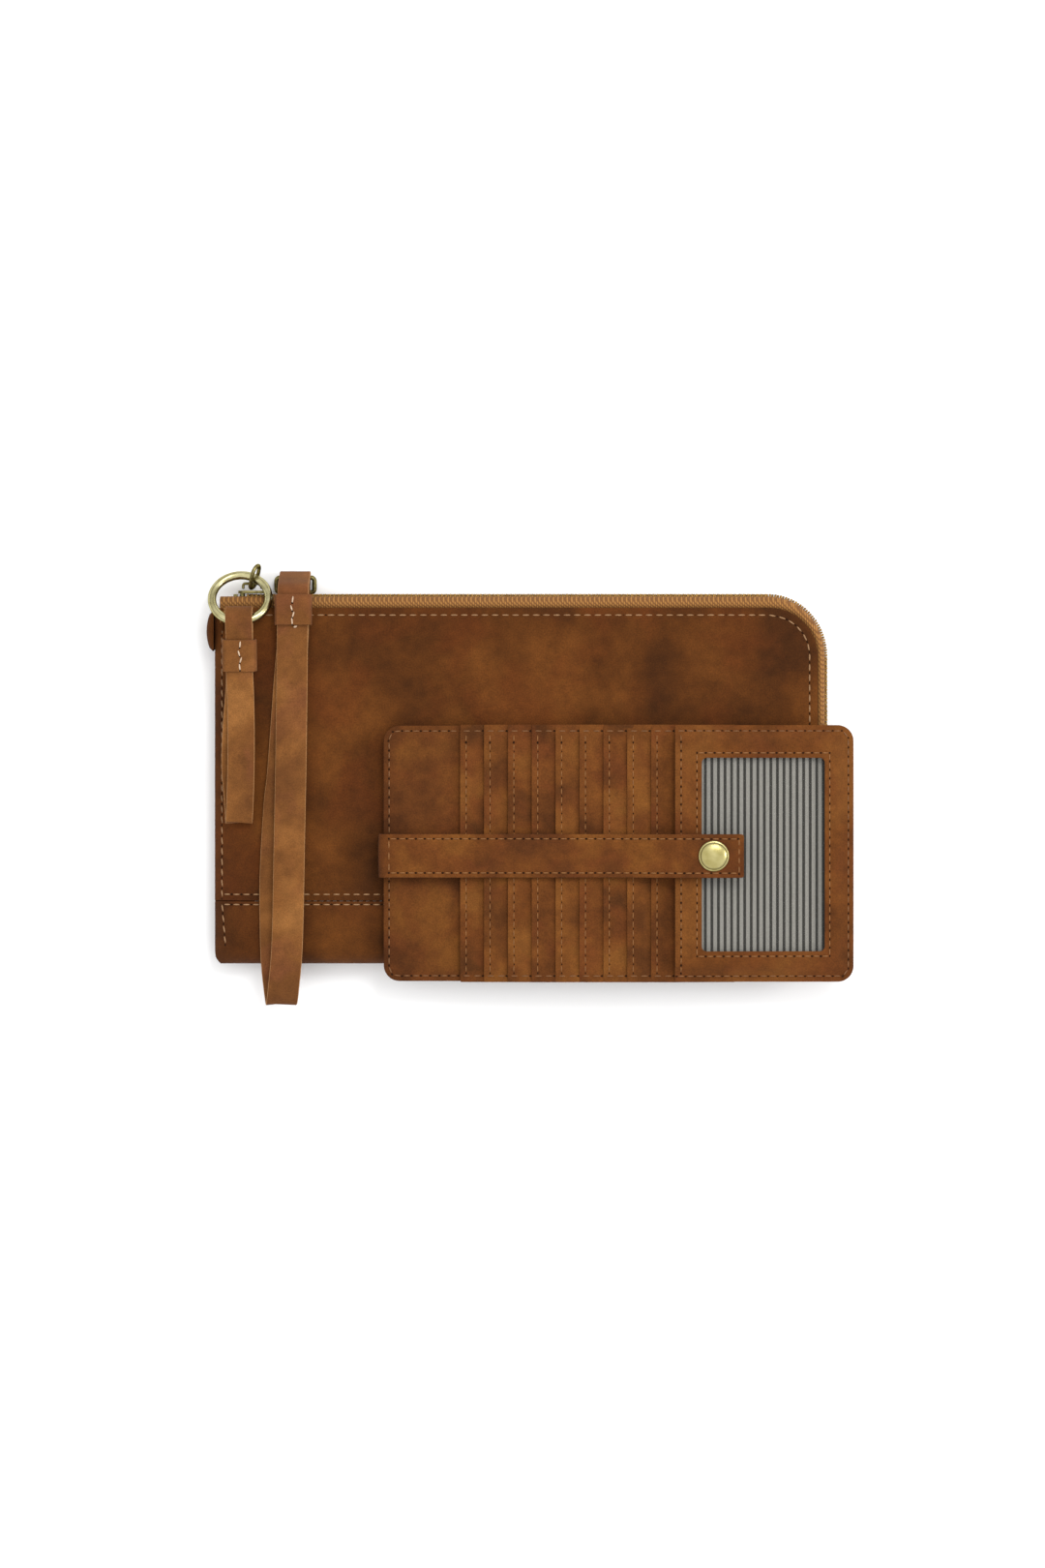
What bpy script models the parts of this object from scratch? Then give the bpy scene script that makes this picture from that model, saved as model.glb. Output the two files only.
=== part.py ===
"""Wristlet wallet lying on its back: a zip pouch, its wrist strap and an insert card wallet.

+Z is up out of the pouch's front face, +X runs along the zip from its closed end,
+Y points to the edge of the pouch that the zip closes.
The origin is the middle of the pouch's back face.
"""
import math

import bmesh
import bpy
from mathutils import Matrix, Vector

for old in list(bpy.data.objects):
    bpy.data.objects.remove(old, do_unlink=True)

MM = 0.001

# Fits, in millimetres
GAP = 0.3
CLOSE_GAP = 0.15

# Pouch
POUCH_WIDTH = 237.2
POUCH_HEIGHT = 140.0
POUCH_DEPTH = 14.0
LEATHER = 1.2
LINING = 0.4
MOUTH_RADIUS = 19.0
SEAM_Y = -45.2

# Zip
TAPE = 0.5
TAPE_FLANGE = 8.0
TEETH_RISE = 4.6
TEETH_SIDE_RISE = 3.2
TEETH_DIAMETER = 2.2
TEETH_Z = POUCH_DEPTH / 2 + 0.2
TAPE_ROOF = 3.6
ZIP_FOOT_Y = 12.0 - POUCH_HEIGHT / 2
TOP_STOP_LENGTH = 1.6

# Slider, link and ring
SLIDER_LENGTH = 11.0
SLIDER_X = -103.9
SLIDER_HALF_WIDTH = 2.9
SLIDER_PLATE = 0.9
BRIDGE_WIRE = 1.2
LINK_WIRE = 1.6
LINK_LENGTH = 11.6
RING_WIRE = 3.3
RING_INSIDE = 18.9
RING_TILT = math.radians(33.0)
RING_GRIP = math.radians(62.0)
RING_REACH = 4.5

# Pull loop
LOOP_WIDTH = 10.8
LOOP_THICKNESS = 1.2
LOOP_END_Y = -14.6
LOOP_EASE = 1.4
LOOP_KEEPER_WIDTH = 13.6
LOOP_KEEPER_LENGTH = 12.5

# Wrist strap and its ring
STRAP_X = -87.2
STRAP_WIDTH = 12.0
STRAP_THICKNESS = 1.2
STRAP_END_Y = -86.0
STRAP_KEEPER_WIDTH = 14.6
STRAP_KEEPER_LENGTH = 12.0
KEEPER_THICKNESS = 1.0
ANCHOR_WIRE = 2.0
ANCHOR_OUTSIDE = 17.0
ANCHOR_LOW = (POUCH_HEIGHT / 2 + 6.6, 2.05)
ANCHOR_HIGH = (POUCH_HEIGHT / 2 + 12.4, 3.0)
TAB_THICKNESS = 0.7
TAB_WIDTH = 11.0

# Card wallet
WALLET_LEFT = -51.7
WALLET_WIDTH = 183.9
WALLET_LOW = -76.4
WALLET_HEIGHT = 100.0
WALLET_RADIUS = 6.5
COVER = 1.0
BASE = 0.6
POCKETS = 9
POCKET_LEFT = -21.8
POCKET_PITCH = 9.33
POCKET_LENGTH = 33.0
POCKET_LEATHER = 0.5
POCKET_TILT = math.radians(4.0)
FRAME_LEFT = 62.2
FRAME_TILT = math.radians(2.3)
FRAME_LEATHER = 1.2
WINDOW_LEFT = 72.6
WINDOW_RIGHT = 120.8
WINDOW_LOW = -64.6
WINDOW_HIGH = 11.0
WINDOW_RADIUS = 0.8
VINYL = 0.3
CARD_ROOM = 1.0

# Snap strap
SNAP_X = 76.8
SNAP_Y = -27.3
SNAP_STRAP_WIDTH = 17.1
SNAP_STRAP_END = 88.9
SNAP_STRAP_THICKNESS = 1.2
SNAP_CAP = 12.0
SNAP_ANCHOR_REACH = 44.0
SOCKET_RAISE = 2.4

SOLIDS = bpy.data.collections.new("wristlet_wallet")
CUTTERS = bpy.data.collections.new("cutters")
bpy.context.scene.collection.children.link(SOLIDS)
bpy.context.scene.collection.children.link(CUTTERS)

MATERIALS = {}


def material(name, colour, roughness, metallic=0.0, alpha=1.0):
    made = bpy.data.materials.new(name)
    made.use_nodes = True
    shader = made.node_tree.nodes["Principled BSDF"]
    shader.inputs["Base Color"].default_value = (*colour, 1.0)
    shader.inputs["Roughness"].default_value = roughness
    shader.inputs["Metallic"].default_value = metallic
    shader.inputs["Alpha"].default_value = alpha
    MATERIALS[name] = made


material("brown_leather", (0.155, 0.054, 0.013), 0.75)
material("wallet_leather", (0.25, 0.093, 0.021), 0.65)
material("strap_leather", (0.27, 0.115, 0.041), 0.7)
material("zip_tape", (0.305, 0.133, 0.027), 0.9)
material("striped_lining", (0.2, 0.18, 0.15), 0.9)
material("antique_brass", (0.45, 0.4, 0.2), 0.35, 1.0)
material("clear_vinyl", (0.8, 0.8, 0.8), 0.1, 0.0, 0.35)

FLAT = Matrix(((1, 0, 0, 0), (0, 1, 0, 0), (0, 0, 1, 0), (0, 0, 0, 1)))
ALONG_X = Matrix(((0, 0, 1, 0), (1, 0, 0, 0), (0, 1, 0, 0), (0, 0, 0, 1)))
ALONG_Y = Matrix(((1, 0, 0, 0), (0, 0, -1, 0), (0, 1, 0, 0), (0, 0, 0, 1)))


def shift(x, y, z):
    return Matrix.Translation((x, y, z))


def finish(name, mesh, coating, matrix=FLAT, smooth=False, collection=SOLIDS):
    """Scale a mesh drawn in millimetres to metres and link it as one object."""
    mesh.transform(Matrix.Scale(MM, 4) @ matrix)
    mesh.name = name
    made = bpy.data.objects.new(name, mesh)
    collection.objects.link(made)
    cleaned = bmesh.new()
    cleaned.from_mesh(mesh)
    bmesh.ops.remove_doubles(cleaned, verts=cleaned.verts, dist=1e-6)
    bmesh.ops.recalc_face_normals(cleaned, faces=cleaned.faces)
    for face in cleaned.faces:
        face.smooth = smooth
    cleaned.to_mesh(mesh)
    cleaned.free()
    mesh.materials.clear()
    mesh.materials.append(MATERIALS[coating])
    if collection is CUTTERS:
        made.hide_render = True
        made.display_type = "WIRE"
    return made


def curve_mesh(curve):
    """The mesh of a curve data block, which is then thrown away."""
    holder = bpy.data.objects.new("curve_holder", curve)
    mesh = bpy.data.meshes.new_from_object(holder)
    bpy.data.objects.remove(holder)
    bpy.data.curves.remove(curve)
    return mesh


def outline_plate(name, outlines, thickness, coating, matrix=FLAT, collection=SOLIDS):
    """A flat sheet with the given outline (and holes), half its thickness either side of zero."""
    curve = bpy.data.curves.new(name, "CURVE")
    curve.dimensions = "2D"
    curve.fill_mode = "BOTH"
    curve.extrude = thickness / 2.0
    for points in outlines:
        spline = curve.splines.new("POLY")
        spline.points.add(len(points) - 1)
        for target, (x, y) in zip(spline.points, points):
            target.co = (x, y, 0.0, 1.0)
        spline.use_cyclic_u = True
    return finish(name, curve_mesh(curve), coating, matrix, False, collection)


def wire(name, points, diameter, coating, matrix=FLAT, closed=True, sides=5):
    """A round wire along the given points."""
    curve = bpy.data.curves.new(name, "CURVE")
    curve.dimensions = "3D"
    curve.bevel_depth = diameter / 2.0
    curve.bevel_resolution = sides
    curve.use_fill_caps = True
    curve.twist_mode = "MINIMUM"
    spline = curve.splines.new("POLY")
    spline.points.add(len(points) - 1)
    for target, point in zip(spline.points, points):
        target.co = (*point, 1.0)
    spline.use_cyclic_u = closed
    return finish(name, curve_mesh(curve), coating, matrix, True)


def turned(name, profile, coating, matrix):
    """A turned part: a closed radius-and-height profile spun round its axis."""
    mesh = bpy.data.meshes.new(name)
    edges = [(index, index + 1) for index in range(len(profile) - 1)]
    mesh.from_pydata([(r, 0.0, z) for r, z in profile], edges, [])
    spun = bmesh.new()
    spun.from_mesh(mesh)
    bmesh.ops.spin(
        spun,
        geom=spun.verts[:] + spun.edges[:],
        cent=(0, 0, 0),
        axis=(0, 0, 1),
        angle=2 * math.pi,
        steps=32,
        use_merge=True,
    )
    bmesh.ops.remove_doubles(spun, verts=spun.verts, dist=1e-4)
    spun.to_mesh(mesh)
    spun.free()
    return finish(name, mesh, coating, matrix, True)


def block(name, low, high, coating, bevel=0.0):
    """A box between two corners, its edges rounded."""
    mesh = bpy.data.meshes.new(name)
    shaped = bmesh.new()
    bmesh.ops.create_cube(shaped, size=1.0)
    size = [b - a for a, b in zip(low, high)]
    middle = [(a + b) / 2 for a, b in zip(low, high)]
    bmesh.ops.transform(shaped, matrix=Matrix.Diagonal((*size, 1.0)), verts=shaped.verts)
    bmesh.ops.translate(shaped, vec=middle, verts=shaped.verts)
    if bevel:
        edges = shaped.edges[:]
        bmesh.ops.bevel(shaped, geom=edges, offset=bevel, segments=2, affect="EDGES", profile=0.5)
    shaped.to_mesh(mesh)
    shaped.free()
    return finish(name, mesh, coating)


def cut(target, cutter, operation="DIFFERENCE"):
    change = target.modifiers.new(operation.lower(), "BOOLEAN")
    change.operation = operation
    change.solver = "EXACT"
    change.object = cutter
    return target


def arc(centre, radius, start, end, steps):
    """Points of an arc in degrees, both ends included."""
    turn = [math.radians(start + (end - start) * index / steps) for index in range(steps + 1)]
    return [(centre[0] + radius * math.cos(a), centre[1] + radius * math.sin(a)) for a in turn]


def rounded_rectangle(left, low, right, high, radii, steps=6):
    """Outline with its own corner radius at low left, low right, high right, high left."""
    low_left, low_right, high_right, high_left = radii
    points = arc((left + low_left, low + low_left), low_left, 180, 270, steps)
    points += arc((right - low_right, low + low_right), low_right, 270, 360, steps)
    points += arc((right - high_right, high - high_right), high_right, 0, 90, steps)
    points += arc((left + high_left, high - high_left), high_left, 90, 180, steps)
    return points


def filleted(points, radius, steps=5):
    """An open path with every inner corner rounded."""
    path = [Vector(points[0])]
    for before, corner, after in zip(points, points[1:], points[2:]):
        corner = Vector(corner)
        back = Vector(before) - corner
        ahead = Vector(after) - corner
        reach = min(radius, back.length * 0.45, ahead.length * 0.45)
        start = corner + back.normalized() * reach
        end = corner + ahead.normalized() * reach
        for index in range(steps + 1):
            t = index / steps
            path.append(start * (1 - t) ** 2 + corner * 2 * t * (1 - t) + end * t ** 2)
    path.append(Vector(points[-1]))
    return path


def sideways(path, distances, closed=False):
    """A path moved to its left by a distance at each point, mitred at corners."""
    moved = []
    count = len(path)
    for index, point in enumerate(path):
        before = path[index - 1] if (index or closed) else None
        after = path[(index + 1) % count] if (index < count - 1 or closed) else None
        normals = []
        if before is not None:
            along = (Vector(point) - Vector(before)).normalized()
            normals.append(Vector((-along.y, along.x)))
        if after is not None:
            along = (Vector(after) - Vector(point)).normalized()
            normals.append(Vector((-along.y, along.x)))
        mean = sum(normals, Vector((0, 0))).normalized()
        stretch = 1.0 / max(0.5, mean.dot(normals[0]))
        moved.append(Vector(point) + mean * distances[index] * stretch)
    return moved


def open_band(path, thickness):
    """Outline of a strip that follows an open path."""
    half = [thickness / 2] * len(path)
    return sideways(path, half) + sideways(path, [-h for h in half])[::-1]


def along(path):
    """Distance along the path at each of its points."""
    run = [0.0]
    for before, after in zip(path, path[1:]):
        run.append(run[-1] + (after - before).length)
    return run


def loop_path(middle, near, far, near_run, far_run, parted):
    """Centreline of a strip doubled back on itself about a middle path.

    The two legs are near and far millimetres from the middle at its ends and
    parted millimetres from it between, easing over near_run and far_run.
    """
    run = along(middle)
    total = run[-1]
    halves = []
    for place in run:
        start = max(0.0, 1.0 - place / near_run)
        end = max(0.0, 1.0 - (total - place) / far_run)
        halves.append(parted + (near - parted) * start + (far - parted) * end)
    left = sideways(middle, halves)
    right = sideways(middle, [-h for h in halves])
    first = (middle[0] - middle[1]).normalized()
    last = (middle[-1] - middle[-2]).normalized()
    start_angle = math.degrees(math.atan2(first.y, first.x))
    end_angle = math.degrees(math.atan2(last.y, last.x))
    far_turn = [Vector(p) for p in arc(middle[-1], far, end_angle + 90, end_angle - 90, 8)]
    near_turn = [Vector(p) for p in arc(middle[0], near, start_angle + 90, start_angle - 90, 8)]
    return left + far_turn[1:-1] + right[::-1] + near_turn[1:-1]


def densified(path, longest):
    """The path with extra points so that no step is longer than given."""
    finer = [path[0]]
    for before, after in zip(path, path[1:]):
        pieces = max(1, math.ceil((after - before).length / longest))
        for index in range(pieces):
            finer.append(before.lerp(after, (index + 1) / pieces))
    return finer


def closed_strap(name, centreline, thickness, width, x, coating):
    """A closed strap whose side view is the centreline and whose width runs along X."""
    half = [thickness / 2] * len(centreline)
    outer = sideways(centreline, half, True)
    inner = sideways(centreline, [-h for h in half], True)
    return outline_plate(name, [outer, inner], width, coating, shift(x, 0, 0) @ ALONG_X)


def keeper(name, x, y, z, width, height, length, lean, coating):
    """A leather sleeve round both legs of a strap, leaning with them."""
    outer = rounded_rectangle(-width / 2, -height / 2, width / 2, height / 2, [1.2] * 4, 4)
    inside_width = width - 2 * KEEPER_THICKNESS
    inside_height = height - 2 * KEEPER_THICKNESS
    hole = rounded_rectangle(
        -inside_width / 2, -inside_height / 2, inside_width / 2, inside_height / 2, [0.4] * 4, 4
    )
    placed = shift(x, y, z) @ Matrix.Rotation(lean, 4, "X") @ ALONG_Y
    return outline_plate(name, [outer, hole], length, coating, placed)


# Zip path, shared by tapes, teeth and stops
HALF_WIDTH = POUCH_WIDTH / 2
TOP_Y = POUCH_HEIGHT / 2


def zip_stations(start_x):
    """Points on the pouch's edge with the outward direction and the rise of the teeth."""
    centre = Vector((HALF_WIDTH - MOUTH_RADIUS, TOP_Y - MOUTH_RADIUS))
    stations = []
    for x in (start_x, (start_x + centre.x) / 2):
        stations.append((Vector((x, TOP_Y)), Vector((0, 1)), TEETH_RISE))
    steps = 12
    for index in range(steps + 1):
        turn = math.radians(90 - 90 * index / steps)
        outward = Vector((math.cos(turn), math.sin(turn)))
        rise = TEETH_RISE + (TEETH_SIDE_RISE - TEETH_RISE) * index / steps
        stations.append((centre + outward * MOUTH_RADIUS, outward, rise))
    stations.append((Vector((HALF_WIDTH, ZIP_FOOT_Y)), Vector((1, 0)), TEETH_SIDE_RISE))
    return stations


def swept(name, stations, profile, coating, smooth=False):
    """A strip of constant section laid along the zip; the section is given by rise."""
    shaped = bmesh.new()
    rings = []
    for point, outward, rise in stations:
        ring = []
        for distance, z in profile(rise):
            place = point + outward * distance
            ring.append(shaped.verts.new((place.x, place.y, z)))
        rings.append(ring)
    for near, far in zip(rings, rings[1:]):
        for index in range(len(near)):
            following = (index + 1) % len(near)
            shaped.faces.new((near[index], near[following], far[following], far[index]))
    shaped.faces.new(rings[0][::-1])
    shaped.faces.new(rings[-1])
    mesh = bpy.data.meshes.new(name)
    shaped.to_mesh(mesh)
    shaped.free()
    return finish(name, mesh, coating, FLAT, smooth)


def tape_profile(side):
    """Section of one zip tape: sewn flange, slope and the flat that carries the teeth."""
    if side > 0:
        flange = POUCH_DEPTH - LEATHER - GAP - TAPE / 2
    else:
        flange = LEATHER + TAB_THICKNESS + 2 * CLOSE_GAP + 0.1 + TAPE / 2
    first = TEETH_Z + side * (TEETH_DIAMETER / 2 + GAP + 0.1)
    roof = TEETH_Z + side * TAPE_ROOF

    def profile(rise):
        path = [Vector(p) for p in ((-TAPE_FLANGE, flange), (0, flange), (rise, roof), (rise, first))]
        return open_band(path, TAPE)

    return profile


def teeth_profile(side):
    """Section of one half of the closed chain."""
    low = CLOSE_GAP / 2
    radius = TEETH_DIAMETER / 2

    def profile(rise):
        bow = arc((0, 0), radius, 10, 170, 6)
        return [(rise + x, TEETH_Z + side * (low + y)) for x, y in bow]

    return profile


def build_pouch():
    half = HALF_WIDTH
    radii = (0.6, 0.6, MOUTH_RADIUS, 2.0)
    panel = rounded_rectangle(-half, SEAM_Y + CLOSE_GAP, half, TOP_Y, radii, 10)
    outline_plate("back_panel", [panel], LEATHER, "brown_leather", shift(0, 0, LEATHER / 2))
    front_z = POUCH_DEPTH - LEATHER / 2
    outline_plate("front_panel", [panel], LEATHER, "brown_leather", shift(0, 0, front_z))

    radius = POUCH_DEPTH / 2 - LEATHER / 2
    centre = (-TOP_Y + POUCH_DEPTH / 2, POUCH_DEPTH / 2)
    band = [Vector((SEAM_Y - CLOSE_GAP, front_z))]
    band += [Vector(p) for p in arc(centre, radius, 90, 270, 16)]
    band.append(Vector((SEAM_Y - CLOSE_GAP, LEATHER / 2)))
    outline_plate("base_band", [open_band(band, LEATHER)], POUCH_WIDTH, "brown_leather", ALONG_X)

    inside = POUCH_DEPTH / 2 - LEATHER - GAP - LINING / 2
    corner = (MOUTH_RADIUS - TAPE_FLANGE - GAP) / math.sqrt(2)
    lining_top = TOP_Y - MOUTH_RADIUS + corner
    bag = [Vector((lining_top, POUCH_DEPTH / 2 + inside))]
    bag += [Vector(p) for p in arc(centre, inside, 90, 270, 12)]
    bag.append(Vector((lining_top, POUCH_DEPTH / 2 - inside)))
    left = -half + LEATHER + 2 * GAP
    right = half - MOUTH_RADIUS + corner
    placed = shift((left + right) / 2, 0, 0) @ ALONG_X
    outline_plate("lining_bag", [open_band(bag, LINING)], right - left, "striped_lining", placed)

    low = LEATHER + GAP
    gusset_left = -half + GAP
    block(
        "left_gusset",
        (gusset_left, -TOP_Y + POUCH_DEPTH / 2, low),
        (gusset_left + LEATHER, TOP_Y - TAPE_FLANGE - GAP, POUCH_DEPTH - low),
        "brown_leather",
    )
    tab_low = (-half - 2.6, TOP_Y - 16, POUCH_DEPTH / 2 - 2.8)
    tab_high = (-half - GAP, TOP_Y - 2, POUCH_DEPTH / 2 + 2.8)
    block("side_tab", tab_low, tab_high, "brown_leather", 0.5)


def build_zip():
    start_x = SLIDER_X - SLIDER_LENGTH / 2 - GAP - TOP_STOP_LENGTH
    for side, word in ((1, "front"), (-1, "back")):
        swept("zip_tape_" + word, zip_stations(-HALF_WIDTH + 2.2), tape_profile(side), "zip_tape")
        chain = zip_stations(SLIDER_X - SLIDER_LENGTH / 2 + 3.2)
        teeth = swept("zip_teeth_" + word, chain, teeth_profile(side), "antique_brass", True)
        teeth.data.shade_flat()
    y = TOP_Y + TEETH_RISE
    block(
        "top_stop",
        (start_x, y - 1.0, TEETH_Z - 1.3),
        (start_x + TOP_STOP_LENGTH, y + 1.0, TEETH_Z + 1.3),
        "antique_brass",
        0.25,
    )
    x = HALF_WIDTH + TEETH_SIDE_RISE
    block(
        "bottom_stop",
        (x - 1.3, ZIP_FOOT_Y - GAP - 2.4, TEETH_Z - 1.5),
        (x + 1.3, ZIP_FOOT_Y - GAP, TEETH_Z + 1.5),
        "antique_brass",
        0.25,
    )


def build_slider():
    """Two plates joined by the post that parts the teeth, and the bridge over the upper plate."""
    y = TOP_Y + TEETH_RISE
    upper = y + TEETH_DIAMETER / 2 + GAP
    lower = y - TEETH_DIAMETER / 2 - GAP - SLIDER_PLATE
    half = SLIDER_LENGTH / 2
    width = SLIDER_HALF_WIDTH
    top = rounded_rectangle(-half, -width, half, width, (2.0, 0.8, 0.8, 2.0), 4)
    body = outline_plate(
        "slider_body",
        [top],
        SLIDER_PLATE,
        "antique_brass",
        shift(SLIDER_X, upper + SLIDER_PLATE / 2, TEETH_Z) @ ALONG_Y,
    )
    under = outline_plate(
        "slider_under_plate",
        [top],
        SLIDER_PLATE,
        "antique_brass",
        shift(SLIDER_X, lower + SLIDER_PLATE / 2, TEETH_Z) @ ALONG_Y,
        CUTTERS,
    )
    post_outline = arc((0, 0), 1.0, 0, 345, 23)
    post = outline_plate(
        "slider_post",
        [post_outline],
        upper - lower,
        "antique_brass",
        shift(SLIDER_X - half + 1.6, (upper + lower) / 2 + SLIDER_PLATE / 2, TEETH_Z) @ ALONG_Y,
        CUTTERS,
    )
    cut(body, post, "UNION")
    cut(body, under, "UNION")

    face = upper + SLIDER_PLATE + CLOSE_GAP + BRIDGE_WIRE / 2
    arch = [(SLIDER_X - 3.6, face), (SLIDER_X - 3.6, BRIDGE_Y), (SLIDER_X + 3.6, BRIDGE_Y)]
    arch.append((SLIDER_X + 3.6, face))
    path = [(p.x, p.y, TEETH_Z) for p in filleted(arch, 1.6, 4)]
    wire("slider_bridge", path, BRIDGE_WIRE, "antique_brass", FLAT, False, 3)


# Where the link hangs from the bridge and holds the ring
UPPER_FACE = TOP_Y + TEETH_RISE + TEETH_DIAMETER / 2 + GAP + SLIDER_PLATE
LINK_FOOT = Vector((SLIDER_X, UPPER_FACE + 1.35, TEETH_Z - 0.8))
BRIDGE_Y = UPPER_FACE + 2.9
RING_RADIUS = (RING_INSIDE + RING_WIRE) / 2
RING_ACROSS = Vector((1, 0, 0))
RING_UP = Vector((0, math.cos(RING_TILT), -math.sin(RING_TILT)))
RING_TANGENT = RING_UP * math.cos(RING_GRIP) - RING_ACROSS * math.sin(RING_GRIP)
RING_OUTWARD = RING_ACROSS * math.cos(RING_GRIP) + RING_UP * math.sin(RING_GRIP)


def link_axes():
    """The link's length and width directions; its plane is square to the ring's wire."""
    lean = Vector((0.223, 0.808, 0.546))
    length = (lean - RING_TANGENT * lean.dot(RING_TANGENT)).normalized()
    return length, RING_TANGENT.cross(length).normalized()


LINK_LENGTH_AXIS, LINK_WIDTH_AXIS = link_axes()
RING_HOLD = LINK_FOOT + LINK_LENGTH_AXIS * RING_REACH
RING_CENTRE = RING_HOLD - RING_OUTWARD * RING_RADIUS
RING_FOOT = RING_CENTRE - RING_UP * RING_RADIUS


def build_pull():
    half = RING_WIRE / 2 + GAP + LINK_WIRE / 2
    straight = LINK_LENGTH - LINK_WIRE - 2 * half
    flat = arc((half, 0), half, 270, 90, 10) + arc((half + straight, 0), half, 90, -90, 10)
    points = [LINK_FOOT + LINK_LENGTH_AXIS * s + LINK_WIDTH_AXIS * w for s, w in flat]
    wire("pull_link", points, LINK_WIRE, "antique_brass", FLAT, True, 3)

    round_ring = []
    for index in range(48):
        turn = 2 * math.pi * index / 48
        spot = RING_ACROSS * math.cos(turn) + RING_UP * math.sin(turn)
        round_ring.append(RING_CENTRE + spot * RING_RADIUS)
    wire("pull_ring", round_ring, RING_WIRE, "antique_brass", FLAT, True, 5)

    leg = (LOOP_THICKNESS + GAP) / 2
    fold = RING_WIRE / 2 + GAP + LOOP_THICKNESS / 2 + LOOP_EASE
    rest = POUCH_DEPTH + GAP + LOOP_THICKNESS / 2 + leg
    corners = [
        (RING_FOOT.y + 1.9, RING_FOOT.z - 0.4),
        (RING_FOOT.y - 7.0, RING_FOOT.z - 1.6),
        (45.0, rest + 1.7),
        (34.0, rest),
        (LOOP_END_Y + 12.0, rest),
        (LOOP_END_Y + 2.2, rest + 0.9),
    ]
    middle = densified(filleted(corners, 6.0), 3.0)
    path = loop_path(middle, fold, 1.5, 8.6, 5.0, leg)
    x = RING_FOOT.x
    closed_strap("pull_loop", path, LOOP_THICKNESS, LOOP_WIDTH, x, "strap_leather")
    height = 2 * (leg + LOOP_THICKNESS / 2 + GAP + KEEPER_THICKNESS)
    rise = corners[1][1] - corners[2][1]
    lean = math.atan2(rise, corners[1][0] - corners[2][0])
    y = (corners[1][0] + corners[2][0]) / 2
    z = (corners[1][1] + corners[2][1]) / 2
    keeper(
        "pull_loop_keeper", x, y, z, LOOP_KEEPER_WIDTH, height, LOOP_KEEPER_LENGTH, lean, "strap_leather"
    )


def build_wrist_strap():
    leg = (STRAP_THICKNESS + GAP) / 2
    rest = POUCH_DEPTH + GAP + STRAP_THICKNESS / 2 + leg
    height = 2 * (leg + STRAP_THICKNESS / 2 + GAP + KEEPER_THICKNESS)
    crest = POUCH_DEPTH + GAP + height / 2
    fold = ANCHOR_WIRE / 2 + GAP + STRAP_THICKNESS / 2
    corners = [
        ANCHOR_HIGH,
        (TOP_Y + 7.0, crest),
        (TOP_Y - 9.0, crest),
        (TOP_Y - 17.0, rest),
        (STRAP_END_Y + 22.0, rest),
        (STRAP_END_Y + 2.2, rest - 2.0),
    ]
    middle = densified(filleted(corners, 5.0), 4.0)
    path = loop_path(middle, fold, 1.6, 9.0, 6.0, leg)
    closed_strap("wrist_strap", path, STRAP_THICKNESS, STRAP_WIDTH, STRAP_X, "strap_leather")
    keeper(
        "wrist_strap_keeper",
        STRAP_X,
        TOP_Y - 3.0,
        crest,
        STRAP_KEEPER_WIDTH,
        height,
        STRAP_KEEPER_LENGTH,
        0.0,
        "strap_leather",
    )

    half = (ANCHOR_OUTSIDE - ANCHOR_WIRE) / 2
    low = Vector((0, *ANCHOR_LOW))
    lift = Vector((0, *ANCHOR_HIGH)) - low
    shape = rounded_rectangle(-half, 0, half, lift.length, [1.4] * 4, 4)
    climb = lift.normalized()
    points = [Vector((STRAP_X + x, 0, 0)) + low + climb * s for x, s in shape]
    wire("wrist_ring", points, ANCHOR_WIRE, "antique_brass", FLAT, True, 3)

    turn = ANCHOR_WIRE / 2 + CLOSE_GAP + 0.1 + TAB_THICKNESS / 2
    level = LEATHER + CLOSE_GAP + TAB_THICKNESS / 2
    tab = [Vector((TOP_Y - 9.0, level)), Vector((TOP_Y + 3.4, level))]
    tab += [Vector(p) for p in arc(ANCHOR_LOW, turn, 232, 480, 16)]
    outline = open_band(tab, TAB_THICKNESS)
    outline_plate("ring_tab", [outline], TAB_WIDTH, "brown_leather", shift(STRAP_X, 0, 0) @ ALONG_X)


# Card wallet levels
COVER_LOW = POUCH_DEPTH + GAP + SNAP_STRAP_THICKNESS + GAP
BASE_LOW = COVER_LOW + COVER + GAP
STACK_LOW = BASE_LOW + BASE + 0.2
WALLET_RIGHT = WALLET_LEFT + WALLET_WIDTH
WALLET_HIGH = WALLET_LOW + WALLET_HEIGHT
FRAME_AT = shift(WALLET_RIGHT, 0, STACK_LOW) @ Matrix.Rotation(FRAME_TILT, 4, "Y")
FRAME_LOW = LINING + CARD_ROOM + VINYL + GAP
FRAME_TOP = FRAME_LOW + FRAME_LEATHER


def on_frame(x, level):
    """Point of the tilted window panel at a given X, level above its lowest face."""
    reach = (x - WALLET_RIGHT) / math.cos(FRAME_TILT)
    return FRAME_AT @ Vector((reach, 0.0, level))


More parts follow.
